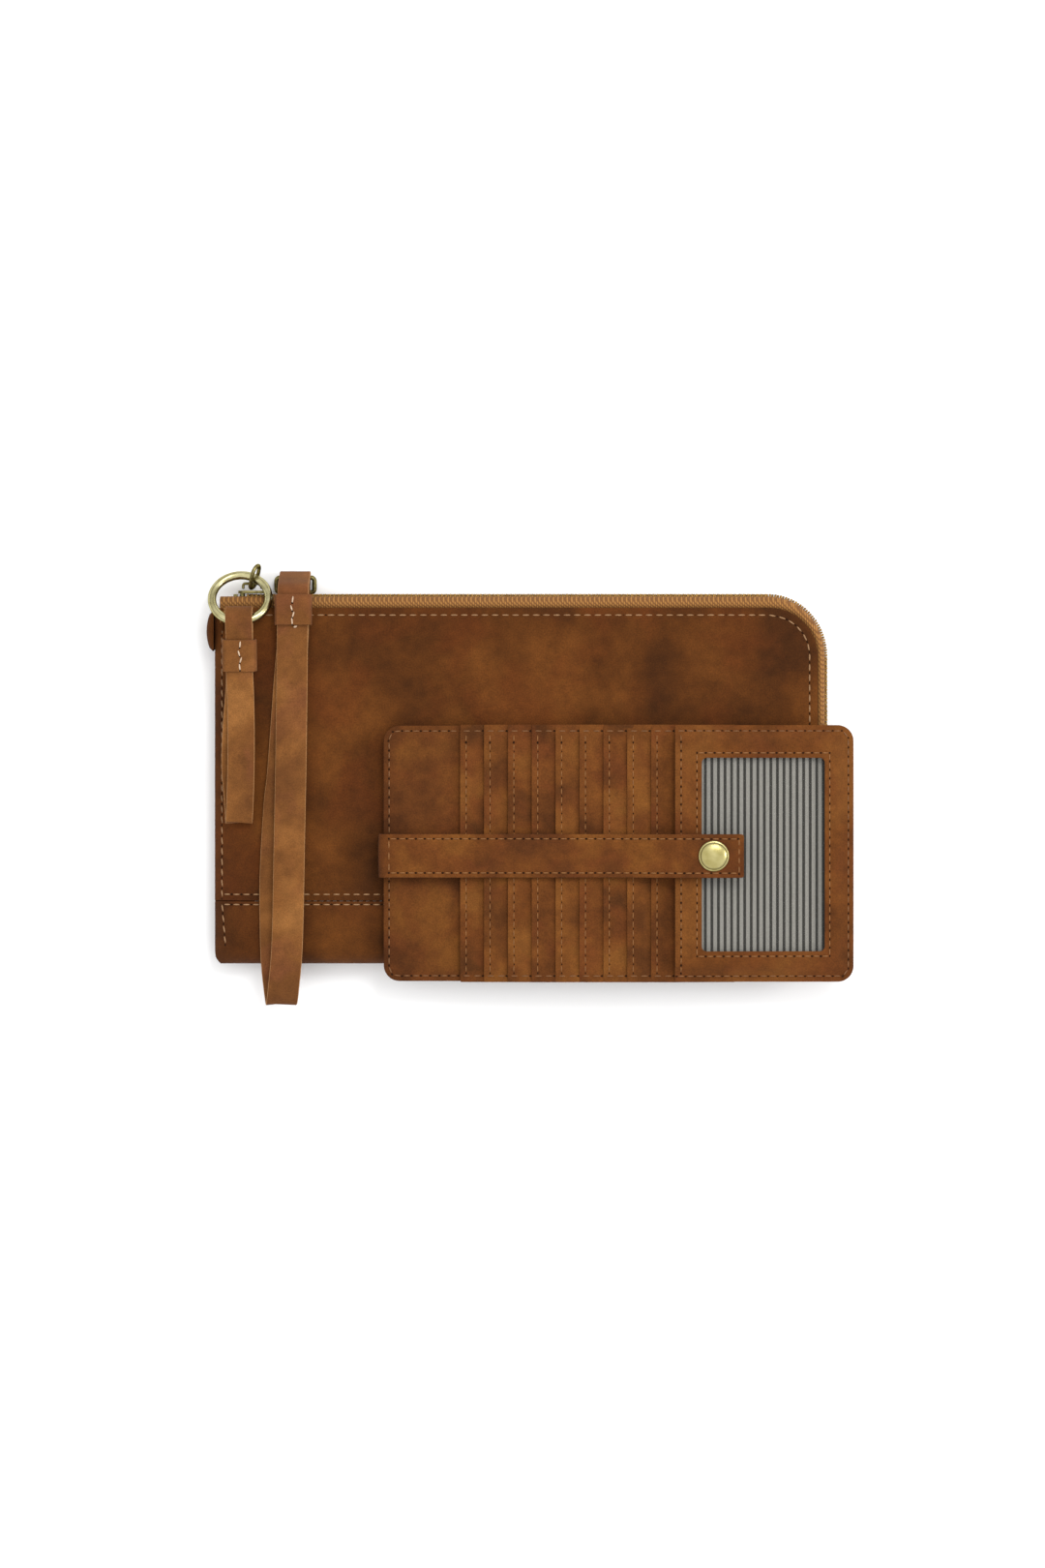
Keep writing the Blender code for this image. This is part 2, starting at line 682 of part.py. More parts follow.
def build_wallet():
    corners = [WALLET_RADIUS] * 4
    cover = rounded_rectangle(WALLET_LEFT, WALLET_LOW, WALLET_RIGHT, WALLET_HIGH, corners)
    placed = shift(0, 0, COVER_LOW + COVER / 2)
    outline_plate("wallet_back_cover", [cover], COVER, "wallet_leather", placed)
    base = rounded_rectangle(WALLET_LEFT, WALLET_LOW, WALLET_RIGHT, WALLET_HIGH, corners)
    outline_plate("wallet_base_panel", [base], BASE, "wallet_leather", shift(0, 0, BASE_LOW + BASE / 2))

    for index in range(POCKETS):
        right = POCKET_LEFT + POCKET_PITCH * index + POCKET_LENGTH
        sheet = rounded_rectangle(
            -POCKET_LENGTH, WALLET_LOW + 0.3, 0, WALLET_HIGH - 0.3, (0.6, 0.6, 0.6, 0.6), 2
        )
        placed = shift(right, 0, STACK_LOW) @ Matrix.Rotation(POCKET_TILT, 4, "Y")
        placed = placed @ shift(0, 0, POCKET_LEATHER / 2)
        outline_plate("card_pocket_%d" % (index + 1), [sheet], POCKET_LEATHER, "wallet_leather", placed)

    left = FRAME_LEFT - WALLET_RIGHT
    radii = (0.8, WALLET_RADIUS, WALLET_RADIUS, 0.8)
    panel = rounded_rectangle(left, WALLET_LOW, 0, WALLET_HIGH, radii)
    hole_left = WINDOW_LEFT - WALLET_RIGHT
    hole_right = WINDOW_RIGHT - WALLET_RIGHT
    tongue_end = SNAP_X + 6.6 - WALLET_RIGHT
    tongue_half = 6.6
    hole = arc((hole_left + 0.8, WINDOW_LOW + 0.8), WINDOW_RADIUS, 180, 270, 3)
    hole += arc((hole_right - 0.8, WINDOW_LOW + 0.8), WINDOW_RADIUS, 270, 360, 3)
    hole += arc((hole_right - 0.8, WINDOW_HIGH - 0.8), WINDOW_RADIUS, 0, 90, 3)
    hole += arc((hole_left + 0.8, WINDOW_HIGH - 0.8), WINDOW_RADIUS, 90, 180, 3)
    hole.append((hole_left, SNAP_Y + tongue_half))
    hole += arc((tongue_end - tongue_half, SNAP_Y), tongue_half, 90, -90, 12)
    hole.append((hole_left, SNAP_Y - tongue_half))
    level = FRAME_LOW + FRAME_LEATHER / 2
    placed = FRAME_AT @ shift(0, 0, level)
    outline_plate("window_frame", [panel, hole], FRAME_LEATHER, "wallet_leather", placed)
    sheet = rounded_rectangle(hole_left - 3, WINDOW_LOW - 3, hole_right + 3, WINDOW_HIGH + 3, [1] * 4, 3)
    level = LINING + CARD_ROOM + VINYL / 2
    outline_plate("window_vinyl", [sheet], VINYL, "clear_vinyl", FRAME_AT @ shift(0, 0, level))
    cloth = rounded_rectangle(left + 1, WALLET_LOW + 1, -1, WALLET_HIGH - 1, (1, 6, 6, 1), 4)
    outline_plate("window_lining", [cloth], LINING, "striped_lining", FRAME_AT @ shift(0, 0, LINING / 2))


# The strap turns at the wallet's left edge
HINGE_X = WALLET_LEFT - 2 * GAP - SNAP_STRAP_THICKNESS / 2
HINGE_Z = STACK_LOW + 0.6
# Its outer face stays closed as the strap swings out, and its inner face opens
HINGE_PIN_X = HINGE_X - SNAP_STRAP_THICKNESS / 2


def build_snap_strap():
    thick = SNAP_STRAP_THICKNESS
    low = POUCH_DEPTH + GAP + thick / 2
    anchor = [(WALLET_LEFT + SNAP_ANCHOR_REACH, low), (HINGE_X, low), (HINGE_X, HINGE_Z - CLOSE_GAP)]
    band = open_band(filleted(anchor, 1.4), thick)
    along_y = shift(0, SNAP_Y, 0) @ ALONG_Y
    outline_plate("strap_anchor", [band], SNAP_STRAP_WIDTH, "wallet_leather", along_y)

    over = STACK_LOW + POCKET_LENGTH * math.sin(POCKET_TILT) + POCKET_LEATHER + 2 * GAP + thick / 2
    level = FRAME_TOP + SOCKET_RAISE + thick / 2
    rise = on_frame(FRAME_LEFT - 1, level)
    end = on_frame(SNAP_STRAP_END, level)
    corners = [
        (HINGE_X, HINGE_Z + CLOSE_GAP),
        (HINGE_X, over),
        (FRAME_LEFT - 20, over),
        (rise.x, rise.z),
        (end.x, end.z),
    ]
    band = open_band(filleted(corners, 5.0, 6), thick)
    strap = outline_plate("snap_strap", [band], SNAP_STRAP_WIDTH, "wallet_leather", along_y)
    half = SNAP_STRAP_WIDTH / 2
    rounded_end = rounded_rectangle(
        HINGE_X - 4, SNAP_Y - half - 1, SNAP_STRAP_END, SNAP_Y + half + 1, (0.5, 1.2, 1.2, 0.5), 4
    )
    plan = outline_plate("strap_plan", [rounded_end], 30, "wallet_leather", shift(0, 0, 25), CUTTERS)
    cut(strap, plan, "INTERSECT")

    reach = (SNAP_X - WALLET_RIGHT) / math.cos(FRAME_TILT)
    upright = FRAME_AT @ shift(reach, SNAP_Y, 0)
    hole_outline = arc((0, 0), 2.4, 0, 345, 23)
    placed = upright @ shift(0, 0, level)
    hole = outline_plate("snap_hole", [hole_outline], 4, "wallet_leather", placed, CUTTERS)
    cut(strap, hole)

    top = FRAME_TOP + SOCKET_RAISE + thick
    radius = SNAP_CAP / 2
    dome = [(0.0, top - 1.2), (2.1, top - 1.2), (2.1, top + CLOSE_GAP), (radius - 0.2, top + CLOSE_GAP)]
    dome += [(radius, top + 0.5)]
    dome += [
        (radius * math.cos(math.radians(a)), top + 0.5 + 1.9 * math.sin(math.radians(a)))
        for a in (15, 30, 45, 60, 75)
    ]
    dome += [(0.0, top + 2.4)]
    turned("snap_cap", dome, "antique_brass", upright)
    low = FRAME_TOP + 0.9
    high = FRAME_TOP + SOCKET_RAISE - CLOSE_GAP
    ring = [(2.2, low), (4.5, low), (4.5, high), (2.2, high), (2.2, low)]
    turned("snap_socket", ring, "antique_brass", upright)
    low = FRAME_TOP + CLOSE_GAP
    stud = [(0.0, low), (4.0, low), (4.0, low + 0.5), (1.7, low + 0.6), (1.5, low + 1.0)]
    stud += [(1.8, low + 1.4), (1.4, low + 1.9), (0.0, low + 2.0)]
    turned("snap_stud", stud, "antique_brass", upright)


build_pouch()
build_zip()
build_slider()
build_pull()
build_wrist_strap()
build_wallet()
build_snap_strap()


# One empty on each joint's axis carries the pieces that move with it
def group(name, place, members, parent=None):
    holder = bpy.data.objects.new(name, None)
    SOLIDS.objects.link(holder)
    holder.location = Vector(place) * MM
    bpy.context.view_layer.update()
    if parent:
        holder.parent = parent
        holder.matrix_parent_inverse = parent.matrix_world.inverted()
        bpy.context.view_layer.update()
    for member in members:
        child = bpy.data.objects[member]
        child.parent = holder
        child.matrix_parent_inverse = holder.matrix_world.inverted()
    return holder


slider_at = (SLIDER_X, TOP_Y + TEETH_RISE, TEETH_Z)
slider = group("zip_slide_axis", slider_at, ["slider_body", "slider_bridge", "pull_link"])
ring = group("ring_lift_axis", RING_HOLD, ["pull_ring"], slider)
group("loop_lift_axis", RING_FOOT, ["pull_loop", "pull_loop_keeper"], ring)
group("wrist_strap_axis", (STRAP_X, *ANCHOR_HIGH), ["wrist_strap", "wrist_strap_keeper"])
wallet_pieces = ["wallet_back_cover", "wallet_base_panel", "window_frame", "window_vinyl"]
wallet_pieces += ["window_lining", "strap_anchor", "snap_stud"]
wallet_pieces += ["card_pocket_%d" % (index + 1) for index in range(POCKETS)]
wallet_middle = ((WALLET_LEFT + WALLET_RIGHT) / 2, (WALLET_LOW + WALLET_HIGH) / 2, COVER_LOW)
wallet = group("card_wallet_axis", wallet_middle, wallet_pieces)
strap_hinge = (HINGE_PIN_X, SNAP_Y, HINGE_Z)
group("snap_strap_axis", strap_hinge, ["snap_strap", "snap_cap", "snap_socket"], wallet)
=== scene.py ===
"""Wristlet wallet: leather pouch, zip, ring pull, wrist strap and a fan-pocket card wallet."""
import math

import bpy
import numpy as np
from mathutils import Matrix, Vector, noise


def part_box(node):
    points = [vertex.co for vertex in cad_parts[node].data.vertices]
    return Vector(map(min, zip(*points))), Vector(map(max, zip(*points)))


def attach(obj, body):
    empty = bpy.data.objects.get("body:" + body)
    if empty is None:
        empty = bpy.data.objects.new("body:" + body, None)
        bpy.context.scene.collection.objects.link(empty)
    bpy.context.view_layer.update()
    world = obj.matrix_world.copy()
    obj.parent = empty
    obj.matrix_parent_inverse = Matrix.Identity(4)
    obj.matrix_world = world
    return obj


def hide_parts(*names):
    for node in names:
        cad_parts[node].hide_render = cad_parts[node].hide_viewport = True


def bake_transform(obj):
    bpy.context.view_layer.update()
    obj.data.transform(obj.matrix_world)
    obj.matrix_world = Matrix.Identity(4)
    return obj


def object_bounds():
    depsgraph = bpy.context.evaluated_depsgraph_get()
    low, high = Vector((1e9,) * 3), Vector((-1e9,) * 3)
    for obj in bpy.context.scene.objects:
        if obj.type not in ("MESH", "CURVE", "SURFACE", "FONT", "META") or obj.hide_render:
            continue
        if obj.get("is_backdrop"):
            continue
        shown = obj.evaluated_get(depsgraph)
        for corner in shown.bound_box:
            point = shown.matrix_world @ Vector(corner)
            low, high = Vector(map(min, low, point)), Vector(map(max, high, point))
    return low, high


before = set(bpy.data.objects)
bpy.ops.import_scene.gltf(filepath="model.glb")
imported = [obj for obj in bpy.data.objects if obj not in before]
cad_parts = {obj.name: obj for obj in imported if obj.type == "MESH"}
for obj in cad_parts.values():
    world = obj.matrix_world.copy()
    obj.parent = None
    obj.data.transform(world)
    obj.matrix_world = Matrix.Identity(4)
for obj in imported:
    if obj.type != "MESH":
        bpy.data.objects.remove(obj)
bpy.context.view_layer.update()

MM = 0.001
UP = Vector((0, 0, 1))
TINY = 1e-9


def mm_box(node):
    """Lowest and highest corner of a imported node, in millimetres."""
    low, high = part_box(node)
    return low / MM, high / MM


# ---------------------------------------------------------------- materials

# Sockets of a Mix node that is set to colours
MIX_SHARE, MIX_A, MIX_B, MIX_OUT = 0, 6, 7, 2


def hex_colour(text):
    """sRGB hex to the linear colour that the shader takes."""
    parts = [int(text[i : i + 2], 16) / 255 for i in (1, 3, 5)]
    linear = [c / 12.92 if c <= 0.04045 else ((c + 0.055) / 1.055) ** 2.4 for c in parts]
    return (*linear, 1.0)


def new_material(name):
    made = bpy.data.materials.new(name)
    made.use_nodes = True
    tree = made.node_tree
    return made, tree, tree.nodes["Principled BSDF"]


def wire(tree, node, links, values):
    """Set a node's sockets from fixed values and from other nodes' (node, output)."""
    for key, value in values.items():
        node.inputs[key].default_value = value
    for key, (source, output) in links.items():
        tree.links.new(source.outputs[output], node.inputs[key])
    return node


def add(tree, kind, links=None, values=None, stops=(), **settings):
    """Add a node with its settings, sockets and, on a ramp, its (position, hex or grey) stops."""
    node = tree.nodes.new(kind)
    for key, value in settings.items():
        setattr(node, key, value)
    elements = node.color_ramp.elements if stops else ()
    while len(elements) < len(stops):
        elements.new(0.5)
    for element, (place, colour) in zip(elements, stops):
        element.position = place
        element.color = hex_colour(colour) if isinstance(colour, str) else (colour, colour, colour, 1)
    return wire(tree, node, links or {}, values or {})


def nubuck(name, dark, middle, light, warm, patch_mm=38, nap_mm=0.55, roughness=0.82, nap=0.3, seed=0.0):
    """Waxed nubuck: sanded grain side, rubbed darker and lighter in soft patches, with a fine nap."""
    made, tree, shader = new_material(name)
    place = add(tree, "ShaderNodeTexCoord")
    moved = add(tree, "ShaderNodeMapping", {"Vector": (place, "Object")},
                {"Location": (seed, seed * 0.7, seed * 0.3)})
    at = {"Vector": (moved, "Vector")}
    patches = add(tree, "ShaderNodeTexNoise", at,
                  {"Scale": 1 / (patch_mm * MM), "Detail": 3.0, "Roughness": 0.55})
    cloud = add(tree, "ShaderNodeValToRGB", {"Fac": (patches, "Fac")},
                stops=[(0.37, dark), (0.5, middle), (0.64, light)])
    tint = add(tree, "ShaderNodeTexNoise", at,
               {"Scale": 1 / (patch_mm * 0.62 * MM), "Detail": 2.0, "Distortion": 0.6})
    tint_share = add(tree, "ShaderNodeValToRGB", {"Fac": (tint, "Fac")}, stops=[(0.48, 0.0), (0.68, 0.55)])
    colour = add(tree, "ShaderNodeMix", {MIX_SHARE: (tint_share, "Color"), MIX_A: (cloud, "Color")},
                 {MIX_B: hex_colour(warm)}, data_type="RGBA")
    # Handling marks of about 4 mm, and the nap itself
    rub = add(tree, "ShaderNodeTexNoise", at, {"Scale": 1 / (4.2 * MM), "Detail": 4.0, "Roughness": 0.6})
    grain = add(tree, "ShaderNodeTexNoise", at, {"Scale": 1 / (nap_mm * MM), "Detail": 3.0, "Roughness": 0.7})
    for source, tones in ((rub, [(0.3, 0.84), (0.7, 1.13)]), (grain, [(0.3, 0.74), (0.7, 1.24)])):
        tone = add(tree, "ShaderNodeValToRGB", {"Fac": (source, "Fac")}, stops=tones)
        first = (colour, MIX_OUT)
        colour = add(tree, "ShaderNodeMix", {MIX_A: first, MIX_B: (tone, "Color")}, {MIX_SHARE: 1.0},
                     data_type="RGBA", blend_type="MULTIPLY")
    fine = add(tree, "ShaderNodeBump", {"Height": (grain, "Fac")}, {"Strength": nap, "Distance": 0.12 * MM})
    wide = add(tree, "ShaderNodeBump", {"Height": (rub, "Fac"), "Normal": (fine, "Normal")},
               {"Strength": 0.25, "Distance": 0.25 * MM})
    wire(tree, shader, {"Base Color": (colour, MIX_OUT), "Normal": (wide, "Normal")},
         {"Roughness": roughness, "Specular IOR Level": 0.07, "Sheen Weight": 0.03, "Sheen Roughness": 0.6})
    return made


def plain(name, colour, second, roughness, metallic=0.0, spot_mm=0.4, bump=0.3, specular=0.5):
    """A finish whose colour drifts between two close tones, with a slight roughness in its surface."""
    made, tree, shader = new_material(name)
    place = add(tree, "ShaderNodeTexCoord")
    speck = add(tree, "ShaderNodeTexNoise", {"Vector": (place, "Object")},
                {"Scale": 1 / (spot_mm * MM), "Detail": 3.0})
    tone = add(tree, "ShaderNodeValToRGB", {"Fac": (speck, "Fac")}, stops=[(0.35, second), (0.62, colour)])
    rise = add(tree, "ShaderNodeBump", {"Height": (speck, "Fac")}, {"Strength": bump, "Distance": 0.05 * MM})
    shine = {"Specular Tint": hex_colour("#8A8568")} if metallic else {"Specular IOR Level": specular}
    wire(tree, shader, {"Base Color": (tone, "Color"), "Normal": (rise, "Normal")},
         {"Roughness": roughness, "Metallic": metallic, **shine})
    return made


def woven(name, colour, dark, thread_mm):
    """Plain-woven polyester zip tape: two crossed sets of threads."""
    made, tree, shader = new_material(name)
    place = add(tree, "ShaderNodeTexCoord")
    at = {"Vector": (place, "Object")}
    threads = {"Scale": 2 * math.pi / (20 * thread_mm * MM)}
    warp = add(tree, "ShaderNodeTexWave", at, threads, bands_direction="DIAGONAL")
    weft = add(tree, "ShaderNodeTexWave", at, threads, bands_direction="X")
    mesh = add(tree, "ShaderNodeMath", {0: (warp, "Fac"), 1: (weft, "Fac")}, operation="MULTIPLY")
    tone = add(tree, "ShaderNodeValToRGB", {"Fac": (mesh, "Value")}, stops=[(0.0, dark), (0.6, colour)])
    bump = add(tree, "ShaderNodeBump", {"Height": (mesh, "Value")}, {"Strength": 0.5, "Distance": 0.12 * MM})
    wire(tree, shader, {"Base Color": (tone, "Color"), "Normal": (bump, "Normal")},
         {"Roughness": 0.85, "Specular IOR Level": 0.3})
    return made


def striped_cloth(name, pale, dark, pitch_mm, phase_mm):
    """Woven stripe lining: pale bands wider than the dark ones, with uneven threads."""
    made, tree, shader = new_material(name)
    place = add(tree, "ShaderNodeTexCoord")
    moved = add(tree, "ShaderNodeMapping", {"Vector": (place, "Object")}, {"Location": (phase_mm * MM, 0, 0)})
    stripe = add(tree, "ShaderNodeTexWave", {"Vector": (moved, "Vector")},
                 {"Scale": 2 * math.pi / (20 * pitch_mm * MM)}, bands_direction="X")
    tone = add(tree, "ShaderNodeValToRGB", {"Fac": (stripe, "Fac")}, stops=[(0.34, dark), (0.48, pale)])
    thread = add(tree, "ShaderNodeTexNoise", {"Vector": (place, "Object")},
                 {"Scale": 1 / (0.5 * MM), "Detail": 2.0})
    thread_tone = add(tree, "ShaderNodeValToRGB", {"Fac": (thread, "Fac")}, stops=[(0.3, 0.86), (0.7, 1.1)])
    colour = add(tree, "ShaderNodeMix", {MIX_A: (tone, "Color"), MIX_B: (thread_tone, "Color")},
                 {MIX_SHARE: 1.0}, data_type="RGBA", blend_type="MULTIPLY")
    bump = add(tree, "ShaderNodeBump", {"Height": (thread, "Fac")}, {"Strength": 0.2, "Distance": 0.1 * MM})
    wire(tree, shader, {"Base Color": (colour, MIX_OUT), "Normal": (bump, "Normal")},
         {"Roughness": 0.8, "Specular IOR Level": 0.1})
    return made


# Waxed nubuck: matt, soft-edged cloudy browns, darkest on the pouch and base band
pouch_leather = nubuck("waxed_nubuck_pouch", "#3C1F08", "#4D290B", "#603612", "#562A0D")
band_leather = nubuck("waxed_nubuck_band", "#381D07", "#472509", "#59310F", "#50290D", seed=0.31)
# The card wallet is cut from thinner, redder pieces, so its patches are smaller and differ by piece
wallet_leather = nubuck("waxed_nubuck_wallet", "#46250D", "#573012", "#663C16", "#592E12", 26, seed=0.17)
frame_leather = nubuck("waxed_nubuck_window", "#4F2B0F", "#5F3513", "#6A3F19", "#5F3215", 30, seed=0.43)
pocket_leathers = [
    nubuck("waxed_nubuck_pocket_a", "#4A290F", "#5E3413", "#6D421A", "#603215", 22, seed=0.17),
    nubuck("waxed_nubuck_pocket_b", "#4E2B10", "#623815", "#6F431A", "#5E3215", 22, seed=0.29),
    nubuck("waxed_nubuck_pocket_c", "#47260D", "#593112", "#683C17", "#5B2E13", 22, seed=0.61),
]
flap_leather = nubuck("waxed_nubuck_flap", "#4E2A10", "#5E3413", "#6C4018", "#5F3114", 22, seed=0.71)
# Oiled nubuck: paler, with a slight sheen from wear
strap_leather = nubuck("oiled_nubuck_strap", "#633C1C", "#734822", "#85572C", "#714128",
                       patch_mm=30, nap_mm=0.45, roughness=0.75, nap=0.2, seed=0.53)
# Cut leather core: pale and dry, without finish
cut_edge = plain("raw_cut_leather_edge", "#A2764C", "#8A6038", 0.8, spot_mm=0.6, bump=0.1, specular=0.2)
# Woven polyester: matt rows of threads, drawn coarser than life so that they show
tape_cloth = woven("woven_zip_tape", "#A07038", "#6C4520", 0.9)
# Antiqued brass: greenish yellow and glossy where polished, brown where the patina stays
teeth_metal = plain("antiqued_brass_teeth", "#A07C42", "#6B4C22", 0.5, 0.6, 0.8, 0.1)
brass = plain("antiqued_brass_polished", "#C2BB90", "#ABA274", 0.24, 1.0, 4.0, 0.0)
dark_brass = plain("antiqued_brass_dark", "#8C8254", "#5B5133", 0.38, 1.0, 1.2, 0.1)
snap_brass = plain("antiqued_brass_satin", "#B5AB76", "#A0955E", 0.3, 1.0, 4.0, 0.0)
# Waxed polyester thread: a dull strand with a little sheen along its twist
pale_thread = plain("waxed_thread_beige", "#9A7550", "#7A5836", 0.7)
knot_thread = plain("waxed_thread_pale", "#D3BBA0", "#B39478", 0.7)
brown_thread = plain("waxed_thread_brown", "#7C5129", "#5E3B1A", 0.7)
tan_thread = plain("waxed_thread_tan", "#8C5C2A", "#6B431C", 0.7)
# Pricked leather: the needle's hole reads as a dark dot
hole_dark = plain("needle_hole_shadow", "#2A1608", "#1E0F05", 0.95, bump=0.0, specular=0.1)
# Woven cotton: dull, with uneven threads inside the stripes
lining_cloth = striped_cloth("striped_cotton_lining", "#807D76", "#1C1A14", 2.57, 0.4)

# Clear PVC sheet: nearly invisible face on, with a soft gloss
vinyl, vinyl_tree, vinyl_shader = new_material("clear_pvc_window")
wire(vinyl_tree, vinyl_shader, {},
     {"Base Color": hex_colour("#9A9A96"), "Roughness": 0.16, "Alpha": 0.04, "IOR": 1.53})


# ---------------------------------------------------------------- modelling helpers


def deselect():
    for thing in bpy.context.selected_objects:
        thing.select_set(False)
    bpy.context.view_layer.objects.active = None


def activate(piece):
    deselect()
    piece.select_set(True)
    bpy.context.view_layer.objects.active = piece


def applied(piece, kind, **settings):
    """Add a modifier with its settings and apply it."""
    activate(piece)
    change = piece.modifiers.new(kind.lower(), kind)
    for key, value in settings.items():
        setattr(change, key, value)
    bpy.ops.object.modifier_apply(modifier=change.name)


def edit(piece, *steps):
    """Run (operator, settings) steps in edit mode on all of a piece."""
    activate(piece)
    bpy.ops.object.mode_set(mode="EDIT")
    bpy.ops.mesh.select_all(action="SELECT")
    for operator, settings in steps:
        operator(**settings)
    bpy.ops.object.mode_set(mode="OBJECT")


def outward(piece):
    """Merge doubles and point every face out."""
    edit(piece, (bpy.ops.mesh.remove_doubles, {"threshold": 0.002 * MM}),
         (bpy.ops.mesh.normals_make_consistent, {"inside": False}))


def pushed(metres):
    """Settings that extrude what is selected by a vector in metres."""
    return {"TRANSFORM_OT_translate": {"value": metres}}


def named(piece, name):
    piece.name = piece.data.name = name
    return piece


def done(piece, coating, body, slot, *nodes, angle=40):
    """Smooth shading, material, the body it moves with and what it stands for."""
    activate(piece)
    bpy.ops.object.shade_smooth_by_angle(angle=math.radians(angle))
    piece.data.materials.clear()
    piece.data.materials.append(coating)
    if body:
        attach(piece, body)
    if nodes:
        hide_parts(*nodes)


def slab(name, columns, rows, surface, thickness, edge=0.3, segments=2, level=False):
    """A sheet of leather or cloth whose top is surface(u, v) in mm.

    Its back lies thickness below, square to the surface or, when level, straight down.
    """
    deselect()
    bpy.ops.mesh.primitive_grid_add(x_subdivisions=columns, y_subdivisions=rows, size=1.0)
    piece = named(bpy.context.object, name)
    edit(piece, (bpy.ops.mesh.extrude_region_move, pushed((0, 0, -0.2))))
    step = 1e-4
    for vertex in piece.data.vertices:
        u = min(1.0, max(0.0, vertex.co.x + 0.5))
        v = min(1.0, max(0.0, vertex.co.y + 0.5))
        top = Vector(surface(u, v))
        if vertex.co.z < -0.1 and level:
            top.z -= thickness
        elif vertex.co.z < -0.1:
            du = step if u < 0.5 else -step
            dv = step if v < 0.5 else -step
            along_u = (Vector(surface(u + du, v)) - top) / du
            along_v = (Vector(surface(u, v + dv)) - top) / dv
            top = top - along_u.cross(along_v).normalized() * thickness
        vertex.co = top * MM
    outward(piece)
    if edge:
        applied(piece, "BEVEL", width=edge * MM, segments=segments, limit_method="ANGLE",
                angle_limit=math.radians(44), harden_normals=False)
    return piece


def hoop(name, around, section, place):
    """A closed band: place(i, j) gives mm for step i round the loop and corner j of its section."""
    deselect()
    bpy.ops.mesh.primitive_torus_add(major_segments=around, minor_segments=section,
                                     major_radius=1.0, minor_radius=0.2)
    piece = named(bpy.context.object, name)
    for index, vertex in enumerate(piece.data.vertices):
        vertex.co = Vector(place(index // section, index % section)) * MM
    outward(piece)
    return piece


def curve(a, b, c, d, t):
    """Point at share t from b to c on a smooth curve through four points."""
    return 0.5 * (2 * b + (c - a) * t + (2 * a - 5 * b + 4 * c - d) * t * t
                  + (3 * b - a - 3 * c + d) * t ** 3)


def run_along(line):
    """Length from the first point of a line to each of its points."""
    run = [0.0]
    for a, b in zip(line, line[1:]):
        run.append(run[-1] + (b - a).length)
    return run


def smooth_closed(points, spacing):
    """Even points on a smooth closed curve through the given ones."""
    count = len(points)
    fine = []
    for i in range(count):
        a, b, c, d = (Vector(points[(i + k) % count]) for k in (-1, 0, 1, 2))
        pieces = max(2, int((c - b).length / (spacing * 0.25)))
        fine += [curve(a, b, c, d, k / pieces) for k in range(pieces)]
    run = run_along(fine + fine[:1])
    steps = int(run[-1] / spacing)
    even = []
    at = 0
    for k in range(steps):
        want = run[-1] * k / steps
        while run[at + 1] < want:
            at += 1
        share = (want - run[at]) / max(TINY, run[at + 1] - run[at])
        even.append(fine[at].lerp(fine[(at + 1) % len(fine)], share))
    return even


def rounded_box(width, height, radius, per_corner):
    """Points round a rectangle with rounded corners, anticlockwise from its right side."""
    points = []
    for x, z, start in ((1, 1, 0), (-1, 1, 90), (-1, -1, 180), (1, -1, 270)):
        for k in range(per_corner):
            turn = math.radians(start + 90 * k / (per_corner - 1))
            points.append((x * (width / 2 - radius) + radius * math.cos(turn),
                           z * (height / 2 - radius) + radius * math.sin(turn)))
    return points


def looped_strap(name, centre, width, thickness, rounding=0.45):
    """A strap joined end to end along a closed centreline, its width across X."""
    line = smooth_closed(centre, 1.3)
    section = rounded_box(width, thickness, rounding, 4)
    count = len(line)

    def place(i, j):
        ahead = (line[(i + 1) % count] - line[i - 1]).normalized()
        across = (Vector((1, 0, 0)) - ahead * ahead.x).normalized()
        normal = across.cross(ahead)
        x, z = section[j]
        return line[i] + across * x + normal * z

    return hoop(name, count, len(section), place)


def raw_edges(strap):
    """The cut sides of a strap show the paler core of the hide."""
    strap.data.materials.append(cut_edge)
    for face in strap.data.polygons:
        if abs(face.normal.x) > 0.35:
            face.material_index = 1


def sleeve(name, middle, width, height, length, lean):
    """A leather keeper: a closed band round both strap legs."""
    wall, corner = 1.0, 1.3
    outline = rounded_box(width - wall, height - wall, corner, 6)
    path = smooth_closed([(x, z, 0) for x, z in outline], 0.7)
    section = rounded_box(length, wall, 0.3, 4)
    turn = Matrix.Rotation(lean, 3, "X")

    def place(i, j):
        ahead = (path[(i + 1) % len(path)] - path[i - 1]).normalized()
        along, out = section[j]
        spot = path[i] + Vector((ahead.y, -ahead.x, 0)) * out
        return Vector(middle) + turn @ Vector((spot.x, along, spot.y))

    return hoop(name, len(path), len(section), place)


def drawn(name, points):
    """A line through points in mm, extruded point by point from one vertex."""
    deselect()
    bpy.ops.mesh.primitive_plane_add(size=1)
    piece = named(bpy.context.object, name)
    corners = [Vector(point) * MM for point in points]
    steps = [(bpy.ops.mesh.merge, {"type": "CENTER"}), (bpy.ops.transform.translate, {"value": corners[0]})]
    for a, b in zip(corners, corners[1:]):
        steps.append((bpy.ops.mesh.extrude_region_move, pushed(b - a)))
    edit(piece, *steps)
    return piece


def spun(name, profile, matrix, steps=64):
    """A turned metal part: (radius, height) profile in mm spun round Z, then placed."""
    piece = drawn(name, [(r, 0, z) for r, z in profile])
    applied(piece, "SCREW", angle=2 * math.pi, steps=steps, render_steps=steps, use_merge_vertices=True,
            merge_threshold=0.002 * MM)
    outward(piece)
    metres = matrix.copy()
    metres.translation = matrix.translation * MM
    piece.data.transform(metres)
    return piece


def template(piece):
    """Points and faces of a small shape, modelled once to be repeated."""
    points = np.array([v.co for v in piece.data.vertices])
    faces = [tuple(f.vertices) for f in piece.data.polygons]
    bpy.data.objects.remove(piece)
    return points, faces


